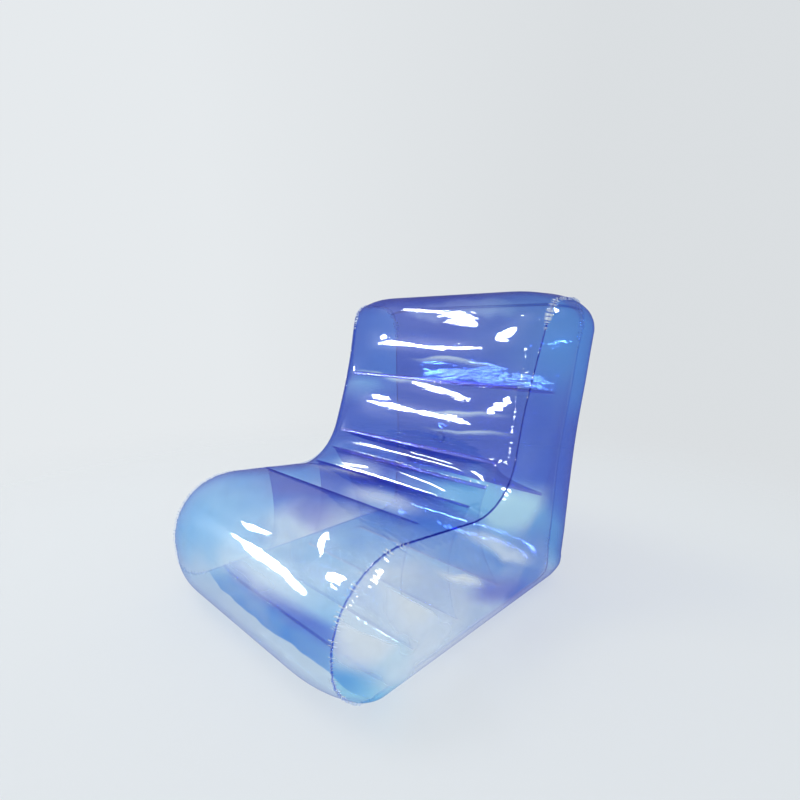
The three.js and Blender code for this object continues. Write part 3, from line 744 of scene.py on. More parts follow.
# %% The dimple and the hole for the valve
VALVE_X = -0.10674
VALVE_Z = 0.28198
VALVE_DIMPLE = 0.0062
DIMPLE_FLAT = 0.0195
DIMPLE_RADIUS = 0.046
HOLE_RADIUS = 0.009
HOLE_SLACK = 0.0006
REAR_START_Y = REAR_Y - 0.05


def valve_dimple(points):
    """Depth of the dimple at each point of the rear."""
    radius = np.hypot(points[..., 0] - VALVE_X, points[..., 2] - VALVE_Z)
    depth = VALVE_DIMPLE * (1 - smooth_step(DIMPLE_FLAT, DIMPLE_RADIUS, radius))
    return np.where(points[..., 1] > REAR_START_Y, depth, 0)


def corner_points(faces, shape):
    """Marks the points at the corners of the marked faces of a grid."""
    marked = np.zeros(shape, bool)
    for rows in (slice(None, -1), slice(1, None)):
        for columns in (slice(None, -1), slice(1, None)):
            marked[rows, columns] |= faces
    return marked


def valve_hole(points):
    """Draws the points at the hole's edge onto its circle, and says which faces to keep."""
    x, z = points[..., 0] - VALVE_X, points[..., 2] - VALVE_Z
    radius = np.where(points[..., 1] > REAR_START_Y, np.hypot(x, z), 1.0)
    inside = radius < HOLE_RADIUS - HOLE_SLACK
    corners = [inside[:-1, :-1], inside[1:, :-1], inside[1:, 1:], inside[:-1, 1:]]
    keep = np.sum(corners, axis=0) < 2
    drawn = corner_points(keep, inside.shape) & corner_points(~keep, inside.shape)
    scale = np.where(drawn, HOLE_RADIUS / np.maximum(radius, 1e-6), 1.0)
    points[..., 0] = VALVE_X + x * scale
    points[..., 2] = VALVE_Z + z * scale
    return keep


print("hole", 2 * HOLE_RADIUS, "m across, in a dimple", VALVE_DIMPLE, "m deep")

# %% Panel of the back and base
LAP_WIDTH = 0.008
LAP_STEP = 0.0012
LAP_INSET = 0.00075
REAR_SHARE = 0.6
VALVE_COLUMNS_REACH = 0.016
VALVE_COLUMNS_STEP = 0.002

rear_seam_width = float(rounding(np.array([OUTLINE * REAR_SHARE]))["seam_across"][0])
valve_places = np.arange(-VALVE_COLUMNS_REACH, VALVE_COLUMNS_REACH + 0.0001, VALVE_COLUMNS_STEP)
valve_columns = (VALVE_X + valve_places) / rear_seam_width
back_rows = row_places(TOP_SEAM + LAP_STEP, FLOOR_SEAM - LAP_STEP)
top_lap = TOP_SEAM - np.array([LAP_WIDTH, LAP_WIDTH / 2, 0])
floor_lap = FLOOR_SEAM + np.array([0, LAP_WIDTH / 2, LAP_WIDTH])
back_rows = np.concatenate([top_lap, back_rows, floor_lap])
back_points = wrapped_grid(back_rows, column_shares(valve_columns), valve_dimple)
lapped = (back_rows <= TOP_SEAM) | (back_rows >= FLOOR_SEAM)
back_points[lapped] -= outward_rows(rounding(back_rows[lapped])) * LAP_INSET
back_keep = valve_hole(back_points)
for row in np.flatnonzero(lapped[:-1] | lapped[1:]):
    back_keep[row, :MARGIN_COLUMNS] = False
    back_keep[row, -MARGIN_COLUMNS:] = False
back_panel = wrapped_panel("back_and_base_film", back_points, back_rows, back_keep)

# %% [markdown]
# ## The side panels
#
# A side is a rounded L, and its rings of points run from the seam inwards to a middle line. How
# far a point bulges depends only on its distance from the outline, so the skin is measured from
# there and no facet or ridge of the rings shows.

# %% The middle line of the sides
SPINE_NOSE = (FRONT_Y + SEAT_DEPTH * 0.32, NOSE_HEIGHT / 2)
SPINE_BEND = (REAR_Y - CORNERS[-1][3] - EDGE_INWARD * 0.74, NOSE_HEIGHT * 0.47)
SPINE_TOP = ((CROOK_Y + BACK_LEAN + REAR_Y) / 2, HEIGHT - EDGE_INWARD * 1.34)
SPINE_BEND_REACH = 0.114
SPINE_BEND_POINTS = 60
OUTLINE_SAMPLES = 2400
POINTS_AT_A_TIME = 2000


def bend(start, corner, end, t):
    """Points of a smooth bend from start to end, drawn towards a corner, at shares t of the way."""
    return (1 - t) ** 2 * start + 2 * t * (1 - t) * corner + t ** 2 * end


def spine_line(count):
    """Points along the middle line of the side, evenly spaced, with its bend rounded."""
    nose, corner, top = (np.array(p) for p in (SPINE_NOSE, SPINE_BEND, SPINE_TOP))
    start = corner + unit(nose - corner) * SPINE_BEND_REACH
    end = corner + unit(top - corner) * SPINE_BEND_REACH
    curve = bend(start, corner, end, np.linspace(0, 1, SPINE_BEND_POINTS)[:, None])
    line = np.vstack([nose, curve, top])
    lengths = np.concatenate([[0], np.cumsum(np.linalg.norm(np.diff(line, axis=0), axis=1))])
    even = np.linspace(0, lengths[-1], count)
    return np.stack([np.interp(even, lengths, line[:, k]) for k in (0, 1)], axis=-1)


def side_across(y, z):
    """How far out the side's skin is, from its distance to the outline."""
    edge = rounding(np.linspace(0, OUTLINE, OUTLINE_SAMPLES, endpoint=False))
    flat_y, flat_z = y.reshape(-1), z.reshape(-1)
    result = np.zeros_like(flat_y)
    for start in range(0, len(flat_y), POINTS_AT_A_TIME):
        part = slice(start, start + POINTS_AT_A_TIME)
        gap = np.hypot(flat_y[part, None] - edge["y"], flat_z[part, None] - edge["z"])
        nearest = gap.argmin(axis=1)
        deep = np.minimum(1, gap.min(axis=1) / edge["inward"][nearest])
        power = edge["power"][nearest]
        rise = (1 - (1 - deep) ** power) ** (1 / power)
        half = side_half_width(flat_y[part], flat_z[part])
        result[part] = half - edge["across"][nearest] * (1 - rise)
    return result.reshape(y.shape)


bulge = float(side_across(*np.array(SPINE_BEND)[:, None])[0])
print("side's bulge at its bend", round(bulge, 4), "m out")

# %% Side panels, ring by ring, closed across the middle line
SIDE_STATIONS = 520
SPINE_POINTS = 800
CALMING_WIDTH = 31
RING_SHARES = (0, 0.007, 0.015, 0.026, 0.04, 0.058, 0.08, 0.108, 0.14, 0.18, 0.225, 0.275, 0.33,
               0.4, 0.48, 0.57, 0.66, 0.75, 0.84, 0.91, 0.96)
station_shares = np.linspace(0, 1, SIDE_STATIONS + 1)
seat_stations = over_seat(station_shares)
floor_stations = under_floor(station_shares)
side_loop = np.concatenate([seat_stations[:-1], floor_stations[:0:-1]])


def spine_targets():
    """For each place of the loop, the point of the middle line that its rings run to."""
    middle = (flat_seam(rounding(seat_stations)) + flat_seam(rounding(floor_stations))) / 2
    line = spine_line(SPINE_POINTS)
    nearest = ((middle[:, None] - line[None]) ** 2).sum(axis=-1).argmin(axis=1).astype(float)
    nearest = np.maximum.accumulate(nearest)
    kernel = np.hanning(CALMING_WIDTH) / np.hanning(CALMING_WIDTH).sum()
    calm = np.convolve(np.pad(nearest, CALMING_WIDTH // 2, mode="edge"), kernel, mode="valid")
    targets = line[np.clip(calm.round().astype(int), 0, len(line) - 1)]
    return np.concatenate([targets[:-1], targets[:0:-1]])


def side_grid(side):
    """Points of a side panel: margin, seam and rings, for every place of the loop."""
    seam, targets = flat_seam(rounding(side_loop)), spine_targets()
    shares = np.array(RING_SHARES)[None, :, None]
    flat = seam[:, None] + (targets - seam)[:, None] * shares
    x = side * side_across(flat[..., 0], flat[..., 1])
    points = np.stack([x, flat[..., 0], flat[..., 1]], axis=-1)
    normals = grid_normals(points, loop=True)
    normals = normals * np.where(normals[..., :1] * side < 0, -1, 1)
    away = np.linalg.norm(points - points[:, :1], axis=-1)
    height = pucker(np.mod(side_loop, OUTLINE)[:, None], away, side)
    points = points + normals * height[..., None]
    margin = margin_columns(side_loop, side, 1)[::-1]
    return np.concatenate([np.stack(margin, axis=1), points], axis=1)


def side_panel(name, side):
    """A side panel's shell of film."""
    points = side_grid(side)
    away = np.linalg.norm(points - points[:, MARGIN_COLUMNS][:, None], axis=-1)
    runs = seam_runs(side_loop, away)
    rows, columns = points.shape[:2]
    last = np.arange(rows) * columns + columns - 1
    if np.sum(grid_normals(points, loop=True)[:, -4, 0]) * side < 0:
        points, runs = points[::-1], runs[::-1]
        last = np.roll(last, -SIDE_STATIONS)
    ladder = [[last[k], last[k + 1], last[rows - k - 1], last[(rows - k) % rows]]
              for k in range(rows // 2)]
    welded = np.zeros((rows, columns - 1), int)
    welded[:, :MARGIN_COLUMNS + BEAD_COLUMNS] = 1
    return open_shell(name, points, loop=True, extra=np.array(ladder), welded=welded, runs=runs)


right_panel = side_panel("right_side_film", 1)
left_panel = side_panel("left_side_film", -1)

# %% [markdown]
# ## The tie sheets
#
# Inside, five sheets of the same film hold the cushion's shape. Each is welded along a folded
# flange at both ends, and its free side edges are drawn in by the tension. A sheet between two
# straight welds is never quite flat: soft folds run from weld to weld. A cloth simulation could
# find such folds, but these are low and few, so a few slow waves make them.

# %% Tie sheets
TIE_DEEP = FILM + SEAM_GAP + FILM / 2
TIE_EDGE_HOLLOW = 0.036
TIE_FOLD_RADIUS = 0.0014
TIE_FOLD_POINTS = 6
TIE_STEP = 0.005
TIE_COLUMNS = 71
TIE_RIPPLE = 0.0013
TIE_RIPPLE_LENGTHS = (0.19, 0.12, 0.075)
TIE_RIPPLE_SEED = 300
TIE_RIPPLE_SHIFT = 0.3
TIE_FAN_SHARE = 0.35
TIE_FAN_FOLDS = 13
TIE_FAN_FADE = 6
TIE_FAN_SPAN = (0.5, 0.95)
TIE_FAN_START = 0.06


def band_point(weld, shift):
    """A place of the tie sheet's flange under a weld's band, in the side view."""
    y, z, ny, nz = (float(v) for v in outline(np.array(weld["distance"] + shift)))
    drop = weld["depth"] + TIE_DEEP
    return np.array([y - ny * drop, z - nz * drop])


def folded(corner, arriving, leaving):
    """A small round fold instead of a sharp corner."""
    start = corner - arriving * TIE_FOLD_RADIUS
    end = corner + leaving * TIE_FOLD_RADIUS
    return bend(start, corner, end, np.linspace(0, 1, TIE_FOLD_POINTS)[:, None])


def tie_path(tie):
    """Side view of a tie sheet, and how far along its free part each point lies."""
    band = tie["flange_way"] * (WELD_BAND / 2 - FILM)
    near_tip, near_root = (band_point(tie["near"], shift) for shift in (band, -band))
    far_root, far_tip = (band_point(tie["far"], shift) for shift in (-band, band))
    down = unit(far_root - near_root)
    near_fold = folded(near_root, unit(near_root - near_tip), down)
    far_fold = folded(far_root, down, unit(far_tip - far_root))
    count = int(np.linalg.norm(far_root - near_root) / TIE_STEP)
    steps = np.linspace(0, 1, count)[1:-1, None]
    free = near_fold[-1] + (far_fold[0] - near_fold[-1]) * steps
    line = np.vstack([near_tip, (near_tip + near_root) / 2, near_fold, free, far_fold,
                      (far_tip + far_root) / 2, far_tip])
    share = np.clip(((line - near_root) @ down) / np.linalg.norm(far_root - near_root), 0, 1)
    return line, share


def tie_sheet(number, tie):
    """One tie sheet as a closed shell."""
    line, share = tie_path(tie)
    half = tie["near"]["half"] + (tie["far"]["half"] - tie["near"]["half"]) * share
    from_ends = share * (1 - share)
    half = half - TIE_EDGE_HOLLOW * 4 * from_ends
    across = np.linspace(-1, 1, TIE_COLUMNS)[None, :]
    x = half[:, None] * across
    along = unit(np.gradient(line, axis=0))
    square = np.stack([-along[:, 1], along[:, 0]], axis=-1)
    swing = np.sin(math.pi * share)[:, None]
    seed = TIE_RIPPLE_SEED + number
    ripple = wander(x + TIE_RIPPLE_SHIFT * number, TIE_RIPPLE_LENGTHS, seed) * swing
    fan = np.sin(2 * TIE_FAN_FOLDS * math.pi * np.abs(across) ** 3 + number)
    fan = fan * np.exp(-TIE_FAN_FADE * from_ends)[:, None] * smooth_step(*TIE_FAN_SPAN, np.abs(across))
    fan = fan * smooth_step(0, TIE_FAN_START, from_ends)[:, None]
    height = TIE_RIPPLE * (ripple + TIE_FAN_SHARE * fan)
    flat = line[:, None] + square[:, None] * height[..., None]
    points = np.stack([x, flat[..., 0], flat[..., 1]], axis=-1)
    return open_shell(tie["name"] + "_tie_film", points)


tie_films = [tie_sheet(number, tie) for number, tie in enumerate(ties)]
print("tie sheets:", len(tie_films))

# %% [markdown]
# ## The valve
#
# The valve is a handful of small soft mouldings, turned about one axis that points straight back:
# a flange welded to the film, a stem that pushes in, a plug on a strap and a flap inside. Turned
# pieces come from a profile, and every corner of the profile gets a small round, because a soft
# moulding has no sharp edge. A bevel on the mesh would do the same, less evenly on thin lips.

# %% Turned pieces about the valve's axis
FILM_FACE_Y = REAR_Y - VALVE_DIMPLE
TURNED_SIDES = 64
SOFT_EDGE_MM = 0.22
ROUND_STEPS = (0, 1 / 3, 2 / 3, 1)


def rounded_profile(profile, radius):
    """A closed profile with each corner off the axis replaced by a small arc."""
    corners = [np.array(p, float) for p in profile]
    made = []
    for before, corner, after in zip(corners[-1:] + corners[:-1], corners, corners[1:] + corners[:1]):
        if corner[0] == 0:
            made.append(corner)
            continue
        reach = min(radius, *(np.linalg.norm(other - corner) / 2.5 for other in (before, after)))
        start, end = corner + unit(before - corner) * reach, corner + unit(after - corner) * reach
        made += [bend(start, corner, end, t) for t in ROUND_STEPS]
    return np.array(made)


def valve_place(right, height, up):
    """Millimetres on the valve (to its right, out from the film and up) to metres in the chair."""
    return np.stack([VALVE_X + right / 1000, FILM_FACE_Y + height / 1000, VALVE_Z + up / 1000], axis=-1)


def turned_piece(name, profile, loop):
    """A piece turned from (radius, height) pairs in millimetres; loop says if it has a bore."""
    line = rounded_profile(profile, SOFT_EDGE_MM)
    angles = np.linspace(0, 2 * math.pi, TURNED_SIDES, endpoint=False)
    count = len(line)
    radius, height = line[:, 0][None], line[:, 1][None]
    right, up = radius * np.cos(angles)[:, None], radius * np.sin(angles)[:, None]
    points = valve_place(right, np.broadcast_to(height, right.shape), up)
    index = np.arange(TURNED_SIDES * count).reshape(TURNED_SIDES, count)
    after = np.roll(index, -1, axis=1)
    corners = [index, after, np.roll(after, -1, axis=0), np.roll(index, -1, axis=0)]
    faces = np.stack([c if loop else c[:, :-1] for c in corners], axis=-1).reshape(-1, 4)
    if not loop:
        for column in (0, -1):
            faces = np.where(np.isin(faces, index[:, column]), index[0, column], faces)
    return mesh_object(name, points.reshape(-1, 3), faces)


valve_flange = turned_piece("valve_flange_moulding", [
    (7.4, -9), (8.6, -9), (8.6, 0.3), (18, 0.3), (18, 0.9), (13.4, 1.05), (12.9, 1.3), (9.8, 1.3),
    (7.4, 1.3)], True)
valve_stem = turned_piece("valve_stem_moulding", [
    (4.2, -24), (8.2, -24), (8.2, -22.5), (7, -22.5), (7, 1.6), (9.5, 1.6), (9.5, 3.0), (4.2, 3.0)],
    True)
valve_plug = turned_piece("valve_plug_moulding", [
    (0, -1.7), (2.4, -1.7), (3.7, 2.0), (3.8, 3.3), (6.5, 3.3), (6.5, 4.9), (3.2, 4.9), (2.8, 4.6),
    (0, 4.6)], False)
valve_flap = turned_piece("valve_flap_moulding", [
    (0, -24.9), (5.6, -24.9), (5.6, -24.3), (0, -24.3)], False)

# %% Strap, pull tab, ear and flap tab: flat bars with rounded ends
ROUND_END_STEPS = 10
ROOT_BULGE = 0.6


def soft_bar(name, outline_points, low, high):
    """A flat bar from its outline in the valve's face, with slightly rounded edges."""
    shape = np.array(outline_points, float)
    middle = shape.mean(axis=0)
    rings = []
    for inset, height in ((0.35, low), (0.1, low + 0.1), (0, low + 0.3), (0, high - 0.3),
                          (0.1, high - 0.1), (0.35, high)):
        shrunk = shape - unit(shape - middle) * inset
        rings.append(valve_place(shrunk[:, 0], np.full(len(shape), height), shrunk[:, 1]))
    count = len(shape)
    points = np.vstack(rings)
    index = np.arange(len(rings) * count).reshape(len(rings), count)
    side = np.roll(index, -1, axis=1)
    faces = np.stack([index[:-1], index[1:], side[1:], side[:-1]], axis=-1).reshape(-1, 4)
    caps = [index[0].tolist(), index[-1][::-1].tolist()]
    mesh = bpy.data.meshes.new(name)
    mesh.from_pydata(points.tolist(), [], faces.tolist() + caps)
    return linked(name, mesh)


def bar_outline(width, start, end):
    """Outline of a bar between two heights, with a round tip and a slightly bulging root."""
    half = width / 2
    way = 1 if end > start else -1
    turn = np.linspace(0, math.pi, ROUND_END_STEPS)
    tip = [(half * math.cos(a), end - way * half + way * half * math.sin(a)) for a in turn]
    root = [(-half * math.cos(a), start - way * ROOT_BULGE * math.sin(a)) for a in turn]
    return tip + root


valve_strap = soft_bar("valve_strap", bar_outline(5, -5.4, -13), 3.35, 4.25)
valve_ear = soft_bar("valve_strap_ear", bar_outline(5, -8.6, -13.8), 1.62, 2.98)
valve_tab = soft_bar("valve_pull_tab", bar_outline(5, 5.6, 11.5), 3.35, 4.25)
flap_tab = soft_bar("valve_flap_tab", bar_outline(3, 4.6, 7.2), -24.88, -24.32)
print("valve: 4 turned pieces and 4 bars")

# %% [markdown]
# ## Clear film, as a finish
#
# Clear film does three things to light. Most of it goes straight through and is tinted, a little
# is mirrored at each face, and a trace is scattered. A refracting glass would bend the view far
# more than so thin a film does, so a tinted see-through shader is mixed with a gloss instead.
# Seen at a slant the way through the film is longer, so the tint deepens towards the edges.
# Such a finish has many nodes, so a small maker adds each of them in one line.

# %% A maker of nodes
class NodeMaker:
    """The emptied node tree of a material or a world, with short ways to add nodes to it."""

    def __init__(self, owner, output_kind="OutputMaterial"):
        owner.use_nodes = True
        self.owner = owner
        self.tree = owner.node_tree
        self.tree.nodes.clear()
        self.output = self.add(output_kind)

    def add(self, kind, *values, operation=None, **named):
        """A node, with values or links for its first inputs and for its named ones."""
        node = self.tree.nodes.new("ShaderNode" + kind)
        if operation:
            node.operation = operation
        sockets = [*node.inputs[:len(values)], *(node.inputs[key] for key in named)]
        for socket, value in zip(sockets, [*values, *named.values()]):
            if isinstance(value, bpy.types.NodeSocket):
                self.tree.links.new(value, socket)
            else:
                socket.default_value = value
        return node

    def math(self, operation, *values):
        """The result of a sum on numbers."""
        return self.add("Math", *values, operation=operation).outputs[0]

    def vector(self, operation, *values):
        """The result of a sum on directions or places: a length, a product or a direction."""
        node = self.add("VectorMath", *values, operation=operation)
        return node.outputs["Value" if operation in ("LENGTH", "DOT_PRODUCT") else "Vector"]

    def ramp(self, value, start, end, low=0.0, high=1.0, soft=False):
        """low where the value is at start, high at end, with an even or a soft rise between."""
        node = self.add("MapRange", value, start, end, low, high)
        node.interpolation_type = "SMOOTHSTEP" if soft else "LINEAR"
        return node.outputs[0]

    def mix(self, share, tint, colour):
        """A tint with a share of another colour mixed in."""
        return self.add("MixRGB", share, tint, (*colour, 1)).outputs[0]

    def mix_shader(self, share, first, second):
        """A shader with a share of a second one mixed in."""
        return self.add("MixShader", share, first, second).outputs[0]

    def seen(self):
        """1 for rays from the camera, off gloss and through clear film, 0 for all others."""
        path = self.add("LightPath").outputs
        seen = self.math("MAXIMUM", path["Is Camera Ray"], path["Is Glossy Ray"])
        return self.math("MAXIMUM", seen, path["Is Transmission Ray"])

    def surface(self, shader):
        """Ends the tree with its last shader, and gives back the material or the world."""
        self.tree.links.new(shader, self.output.inputs["Surface"])
        return self.owner


print("node maker ready")

# %% [markdown]
# ## Streaks and ticks
#
# Film under tension has long soft ridges, and where it gathers at a seam, short folds cross the
# seam's edge and catch the light as white ticks. They are a fraction of a millimetre high, so to
# shape them would need a far finer mesh. Both come from noise instead: the ridges from one that
# is drawn out across the chair's width, the ticks from one that follows the seam's own map. Both
# make bumps, and the ticks' white glints are also painted in, as a white share of the film.

# %% Streaks and ticks
STREAK_SCALE = (5, 20, 20)
FINE_STREAK_SCALE = 4.5
FINE_RELIEF_SHARE = 0.2
TICK_STRETCH = (1, 0.12, 1)
TICK_SCALE = 230.0
TICK_EDGE = (0.57, 0.64)
TICK_REACH = 0.009
TICK_RELIEF_SHARE = 0.3
TOP_TICK_HEIGHTS = (0.50, 0.58)
TOP_TICK_BOOST = 0.09


def streaks(nodes, place, turn):
    """Height of the long soft ridges."""
    drawn_out = nodes.add("Mapping", place, Rotation=(turn, 0, 0), Scale=STREAK_SCALE).outputs[0]
    broad = nodes.add("TexNoise", Vector=drawn_out, Scale=1.0, Detail=1.0, Roughness=0.4)
    fine = nodes.add("TexNoise", Vector=drawn_out, Scale=FINE_STREAK_SCALE, Detail=2.0, Roughness=0.5)
    return nodes.math("MULTIPLY_ADD", fine.outputs[0], FINE_RELIEF_SHARE, broad.outputs[0])


def seam_ticks(nodes, place):
    """1 on the short folds that cross a seam's edge, 0 between them and away from the seam."""
    run = nodes.add("UVMap")
    run.uv_map = SEAM_RUNS
    away = nodes.add("SeparateXYZ", run.outputs[0]).outputs[1]
    drawn_out = nodes.add("Mapping", run.outputs[0], Scale=TICK_STRETCH).outputs[0]
    noise = nodes.add("TexNoise", Vector=drawn_out, Scale=TICK_SCALE, Detail=1.0).outputs[0]
    height = nodes.add("SeparateXYZ", place).outputs[2]
    boost = nodes.ramp(height, *TOP_TICK_HEIGHTS, 0.0, TOP_TICK_BOOST)
    fold = nodes.ramp(nodes.math("ADD", noise, boost), *TICK_EDGE)
    near = nodes.ramp(away, TICK_REACH, TICK_REACH / 3)
    return nodes.math("MULTIPLY", fold, near)


print("ticks reach", TICK_REACH, "m from a seam")

# %% [markdown]
# ## Levels, zones and patches
#
# Each layer of film deepens the colour of what is behind it, and the room is mirrored inside the
# chair. So the film looks pale low at the front and deep blue high at the rear, with soft violet
# and white places between. Films and lamps alone would leave all this to a room that isn't
# known, so the finish carries it as painted light and shade, fixed to the chair and not to the
# camera. Levels give the tint by how high and how far back a place is: the film's own blue, with
# painted shade deepening it towards the high rear. Zones are cloudy places of another tint,
# painted light where paler and painted shade where deeper. Patches have one firmer edge: painted
# shadow where the base lies on the floor, painted shade and light, and white painted reflections.

# %% Levels, zones and patches
LEVEL_LEAN = 0.5
LEVEL_SPREAD = 0.05
ZONE_FADE = (1.25, 0.55)
PATCH_FADE = (1.0, 0.1)


def level_tints(nodes, level, levels):
    """The tint of each level, mixed softly into the next."""
    tint = nodes.add("RGB").outputs[0]
    tint.default_value = (*levels[0][1], 1)
    for start, colour in levels[1:]:
        rise = nodes.ramp(level, start - LEVEL_SPREAD, start + LEVEL_SPREAD, soft=True)
        tint = nodes.mix(rise, tint, colour)
    return tint


def ellipsoid(nodes, away, half_lengths, fade):
    """1 round the middle of an ellipsoid and 0 past its rim, from the way to its middle."""
    radius = nodes.vector("LENGTH", nodes.vector("DIVIDE", away, half_lengths))
    return nodes.ramp(radius, *fade, soft=True)


def zone_tints(nodes, place, tint, zones):
    """A tint with the zones' tints laid over it."""
    for middle, half_lengths, colour in zones:
        away = nodes.vector("SUBTRACT", place, middle)
        tint = nodes.mix(ellipsoid(nodes, away, half_lengths, ZONE_FADE), tint, colour)
    return tint


def patch_tints(nodes, place, tint, patches):
    """A tint with the patches' tints laid over it, and the patches' share of painted white shine."""
    haze = 0.0
    for middle, half_lengths, turn, edge, colour, painted_shine_share in patches:
        away = nodes.vector("SUBTRACT", place, middle)
        turned = nodes.add("Mapping", away, Rotation=(math.radians(turn), 0, 0)).outputs[0]
        inside = nodes.ramp(nodes.add("SeparateXYZ", turned).outputs[2], edge, -edge)
        patch = nodes.math("MULTIPLY", ellipsoid(nodes, turned, half_lengths, PATCH_FADE), inside)
        tint = nodes.mix(patch, tint, colour)
        # White patches are painted reflections and glows
        haze = nodes.math("MULTIPLY_ADD", patch, painted_shine_share, haze)
    return tint, haze


print("each level is", 2 * LEVEL_SPREAD, "m wide where it meets the next")

# %% Clear film from all of these
CLOUD_SCALE = 6.0
CLOUD_SHIFT = 0.12
PATCH_SHIFT = 0.05
SLANT_LEVELS = (0.0, 0.25)
SLANT_SHARES = (0.3, 0.9)
SLANT_POWER = 3.0
MIST_EDGE = (0.48, 0.68)
# Share of white on the seam ticks: a painted glint
PAINTED_TICK_GLINT_SHARE = 0.95
# White of the milky haze, also used for painted shine and glints
HAZE_AND_PAINTED_SHINE_WHITE = (0.89, 0.95, 1.0, 1)
HAZE_BACK_SHARE = 0.12
GLOSS_TINT = (1.0, 1.0, 0.88, 1)
GLOW_ROUGHNESS = 0.34
GLOW_SHARE = 0.12
MIRROR_POWER = 5.0
MIRROR_RISE = 4


def film_finish(name, levels, zones, slant_tint, patches=(), streak_turn=0.0, streak_height=0.0021,
                mirror_share=0.035, roughness=0.04, haze_and_painted_shine_share=0.0, ticks=True):
    """Clear film: tinted, glossy, and deeper in colour at a slant.

    levels are the tints from the low front to the high rear, each with the level where it starts,
    deepened towards the high rear as painted shade.
    zones are cloudy places of another tint: painted light where paler, painted shade where deeper,
    with a middle, three half lengths and a tint each.
    patches have an edge too: a middle, three half lengths, a turn in degrees, the edge's
    softness, a tint and a share of painted white shine each.
    The haze share gives milky haze in clouds low down, partly real milk, partly painted reflection.
    """
    nodes = NodeMaker(bpy.data.materials.new(name))
    slant = nodes.add("LayerWeight", Blend=0.5).outputs["Facing"]
    place = nodes.add("TexCoord").outputs["Object"]
    relief = streaks(nodes, place, streak_turn)
    if ticks:
        tick = seam_ticks(nodes, place)
        relief = nodes.math("MULTIPLY_ADD", tick, TICK_RELIEF_SHARE, relief)
    bump = nodes.add("Bump", Strength=1.0, Distance=streak_height, Height=relief).outputs[0]

    cloud = nodes.add("TexNoise", Vector=place, Scale=CLOUD_SCALE, Detail=2.0, Roughness=0.5)
    shift = nodes.vector("SUBTRACT", cloud.outputs["Color"], (0.5, 0.5, 0.5))
    clouded = nodes.vector("MULTIPLY_ADD", shift, (CLOUD_SHIFT,) * 3, place)
    wavy = nodes.vector("MULTIPLY_ADD", shift, (PATCH_SHIFT,) * 3, place)
    parts = nodes.add("SeparateXYZ", clouded).outputs
    level = nodes.math("MULTIPLY_ADD", parts[1], LEVEL_LEAN, parts[2])
    tint = zone_tints(nodes, clouded, level_tints(nodes, level, levels), zones)
    tint, painted_patch_shine = patch_tints(nodes, wavy, tint, patches)
    high = nodes.ramp(level, *SLANT_LEVELS, *SLANT_SHARES)
    deep = nodes.math("MULTIPLY", nodes.math("POWER", slant, SLANT_POWER), high)
    clear = nodes.add("BsdfTransparent", nodes.mix(deep, tint, slant_tint)).outputs[0]

    # Milky haze in clouds, low down: partly the film's milk, partly painted white reflection
    mist = nodes.ramp(cloud.outputs[0], *MIST_EDGE, 0.0, haze_and_painted_shine_share, soft=True)
    haze = nodes.math("MULTIPLY_ADD", mist, nodes.math("SUBTRACT", 1.0, high), painted_patch_shine)
    # The seam ticks add a painted white glint
    if ticks:
        haze = nodes.math("MULTIPLY_ADD", tick, PAINTED_TICK_GLINT_SHARE, haze)
    front = nodes.add("BsdfDiffuse", Color=HAZE_AND_PAINTED_SHINE_WHITE).outputs[0]
    back = nodes.add("BsdfTranslucent", Color=HAZE_AND_PAINTED_SHINE_WHITE).outputs[0]
    body = nodes.mix_shader(haze, clear, nodes.mix_shader(HAZE_BACK_SHARE, front, back))

    sharp, glow = (nodes.add("BsdfGlossy", Color=GLOSS_TINT, Roughness=value, Normal=bump).outputs[0]
                   for value in (roughness, GLOW_ROUGHNESS))
    shine = nodes.mix_shader(GLOW_SHARE, sharp, glow)
    rise = nodes.math("POWER", slant, MIRROR_POWER)
    mirror = nodes.math("MULTIPLY_ADD", rise, MIRROR_RISE * mirror_share, mirror_share)
    return nodes.surface(nodes.mix_shader(mirror, body, shine))


print("film mirrors more by a factor of", 1 + MIRROR_RISE, "at its edges")

# %% [markdown]
# ## The films of this chair
#
# The front panel, the back and the sides are one film, but each is seen against other films, so
# each has its own tints and patches of painted light and shade. The tie sheets are paler and
# have no ticks. Where two films are welded they are one thicker, duller film, darkest on the
# edges of a weld's band, and zones of painted light and shade make the welds paler or deeper by
# place. The pressed middle of the band is a little lighter than its edges: a painted highlight
# along the weld's bead.

# %% Front, back and sides
# Film tint by level, with painted shade deepening it towards the high rear
CLEAR_TINT_AND_PAINTED_SHADE_LEVELS = [
    (0, (0.95, 0.985, 1.0)), (-0.02, (0.74, 0.895, 1.0)), (0.09, (0.60, 0.80, 0.99)),
    (0.19, (0.70, 0.77, 0.95)), (0.27, (0.52, 0.605, 0.885))]
# Zones of painted light where paler and painted shade where deeper
CLEAR_PAINTED_LIGHT_AND_SHADE_ZONES = [
    ((0.14, 0.0, 0.0), (0.24, 0.20, 0.06), (0.93, 0.98, 1.0)),
    ((0.22, -0.26, 0.27), (0.17, 0.14, 0.07), (0.91, 0.965, 1.0)),
    ((0.17, 0.05, 0.26), (0.16, 0.08, 0.06), (0.70, 0.86, 0.98)),
    ((0.08, 0.37, 0.12), (0.22, 0.06, 0.09), (0.78, 0.93, 1.0)),
    ((0.0, 0.365, 0.635), (0.36, 0.03, 0.03), (0.90, 0.92, 0.98)),
    ((0.34, 0.30, 0.60), (0.25, 0.35, 0.22), (0.56, 0.70, 0.91))]
# Painted shadow where the base lies on the floor
PAINTED_CONTACT_SHADOWS = [
    ((-0.02, -0.296, 0.0), (0.50, 0.03, 0.14), -90, 0.0015, (0.36, 0.66, 0.94), 0.0),
    ((-0.06, -0.245, 0.0), (0.45, 0.03, 0.06), -90, 0.025, (0.38, 0.46, 0.88), 0.0)]
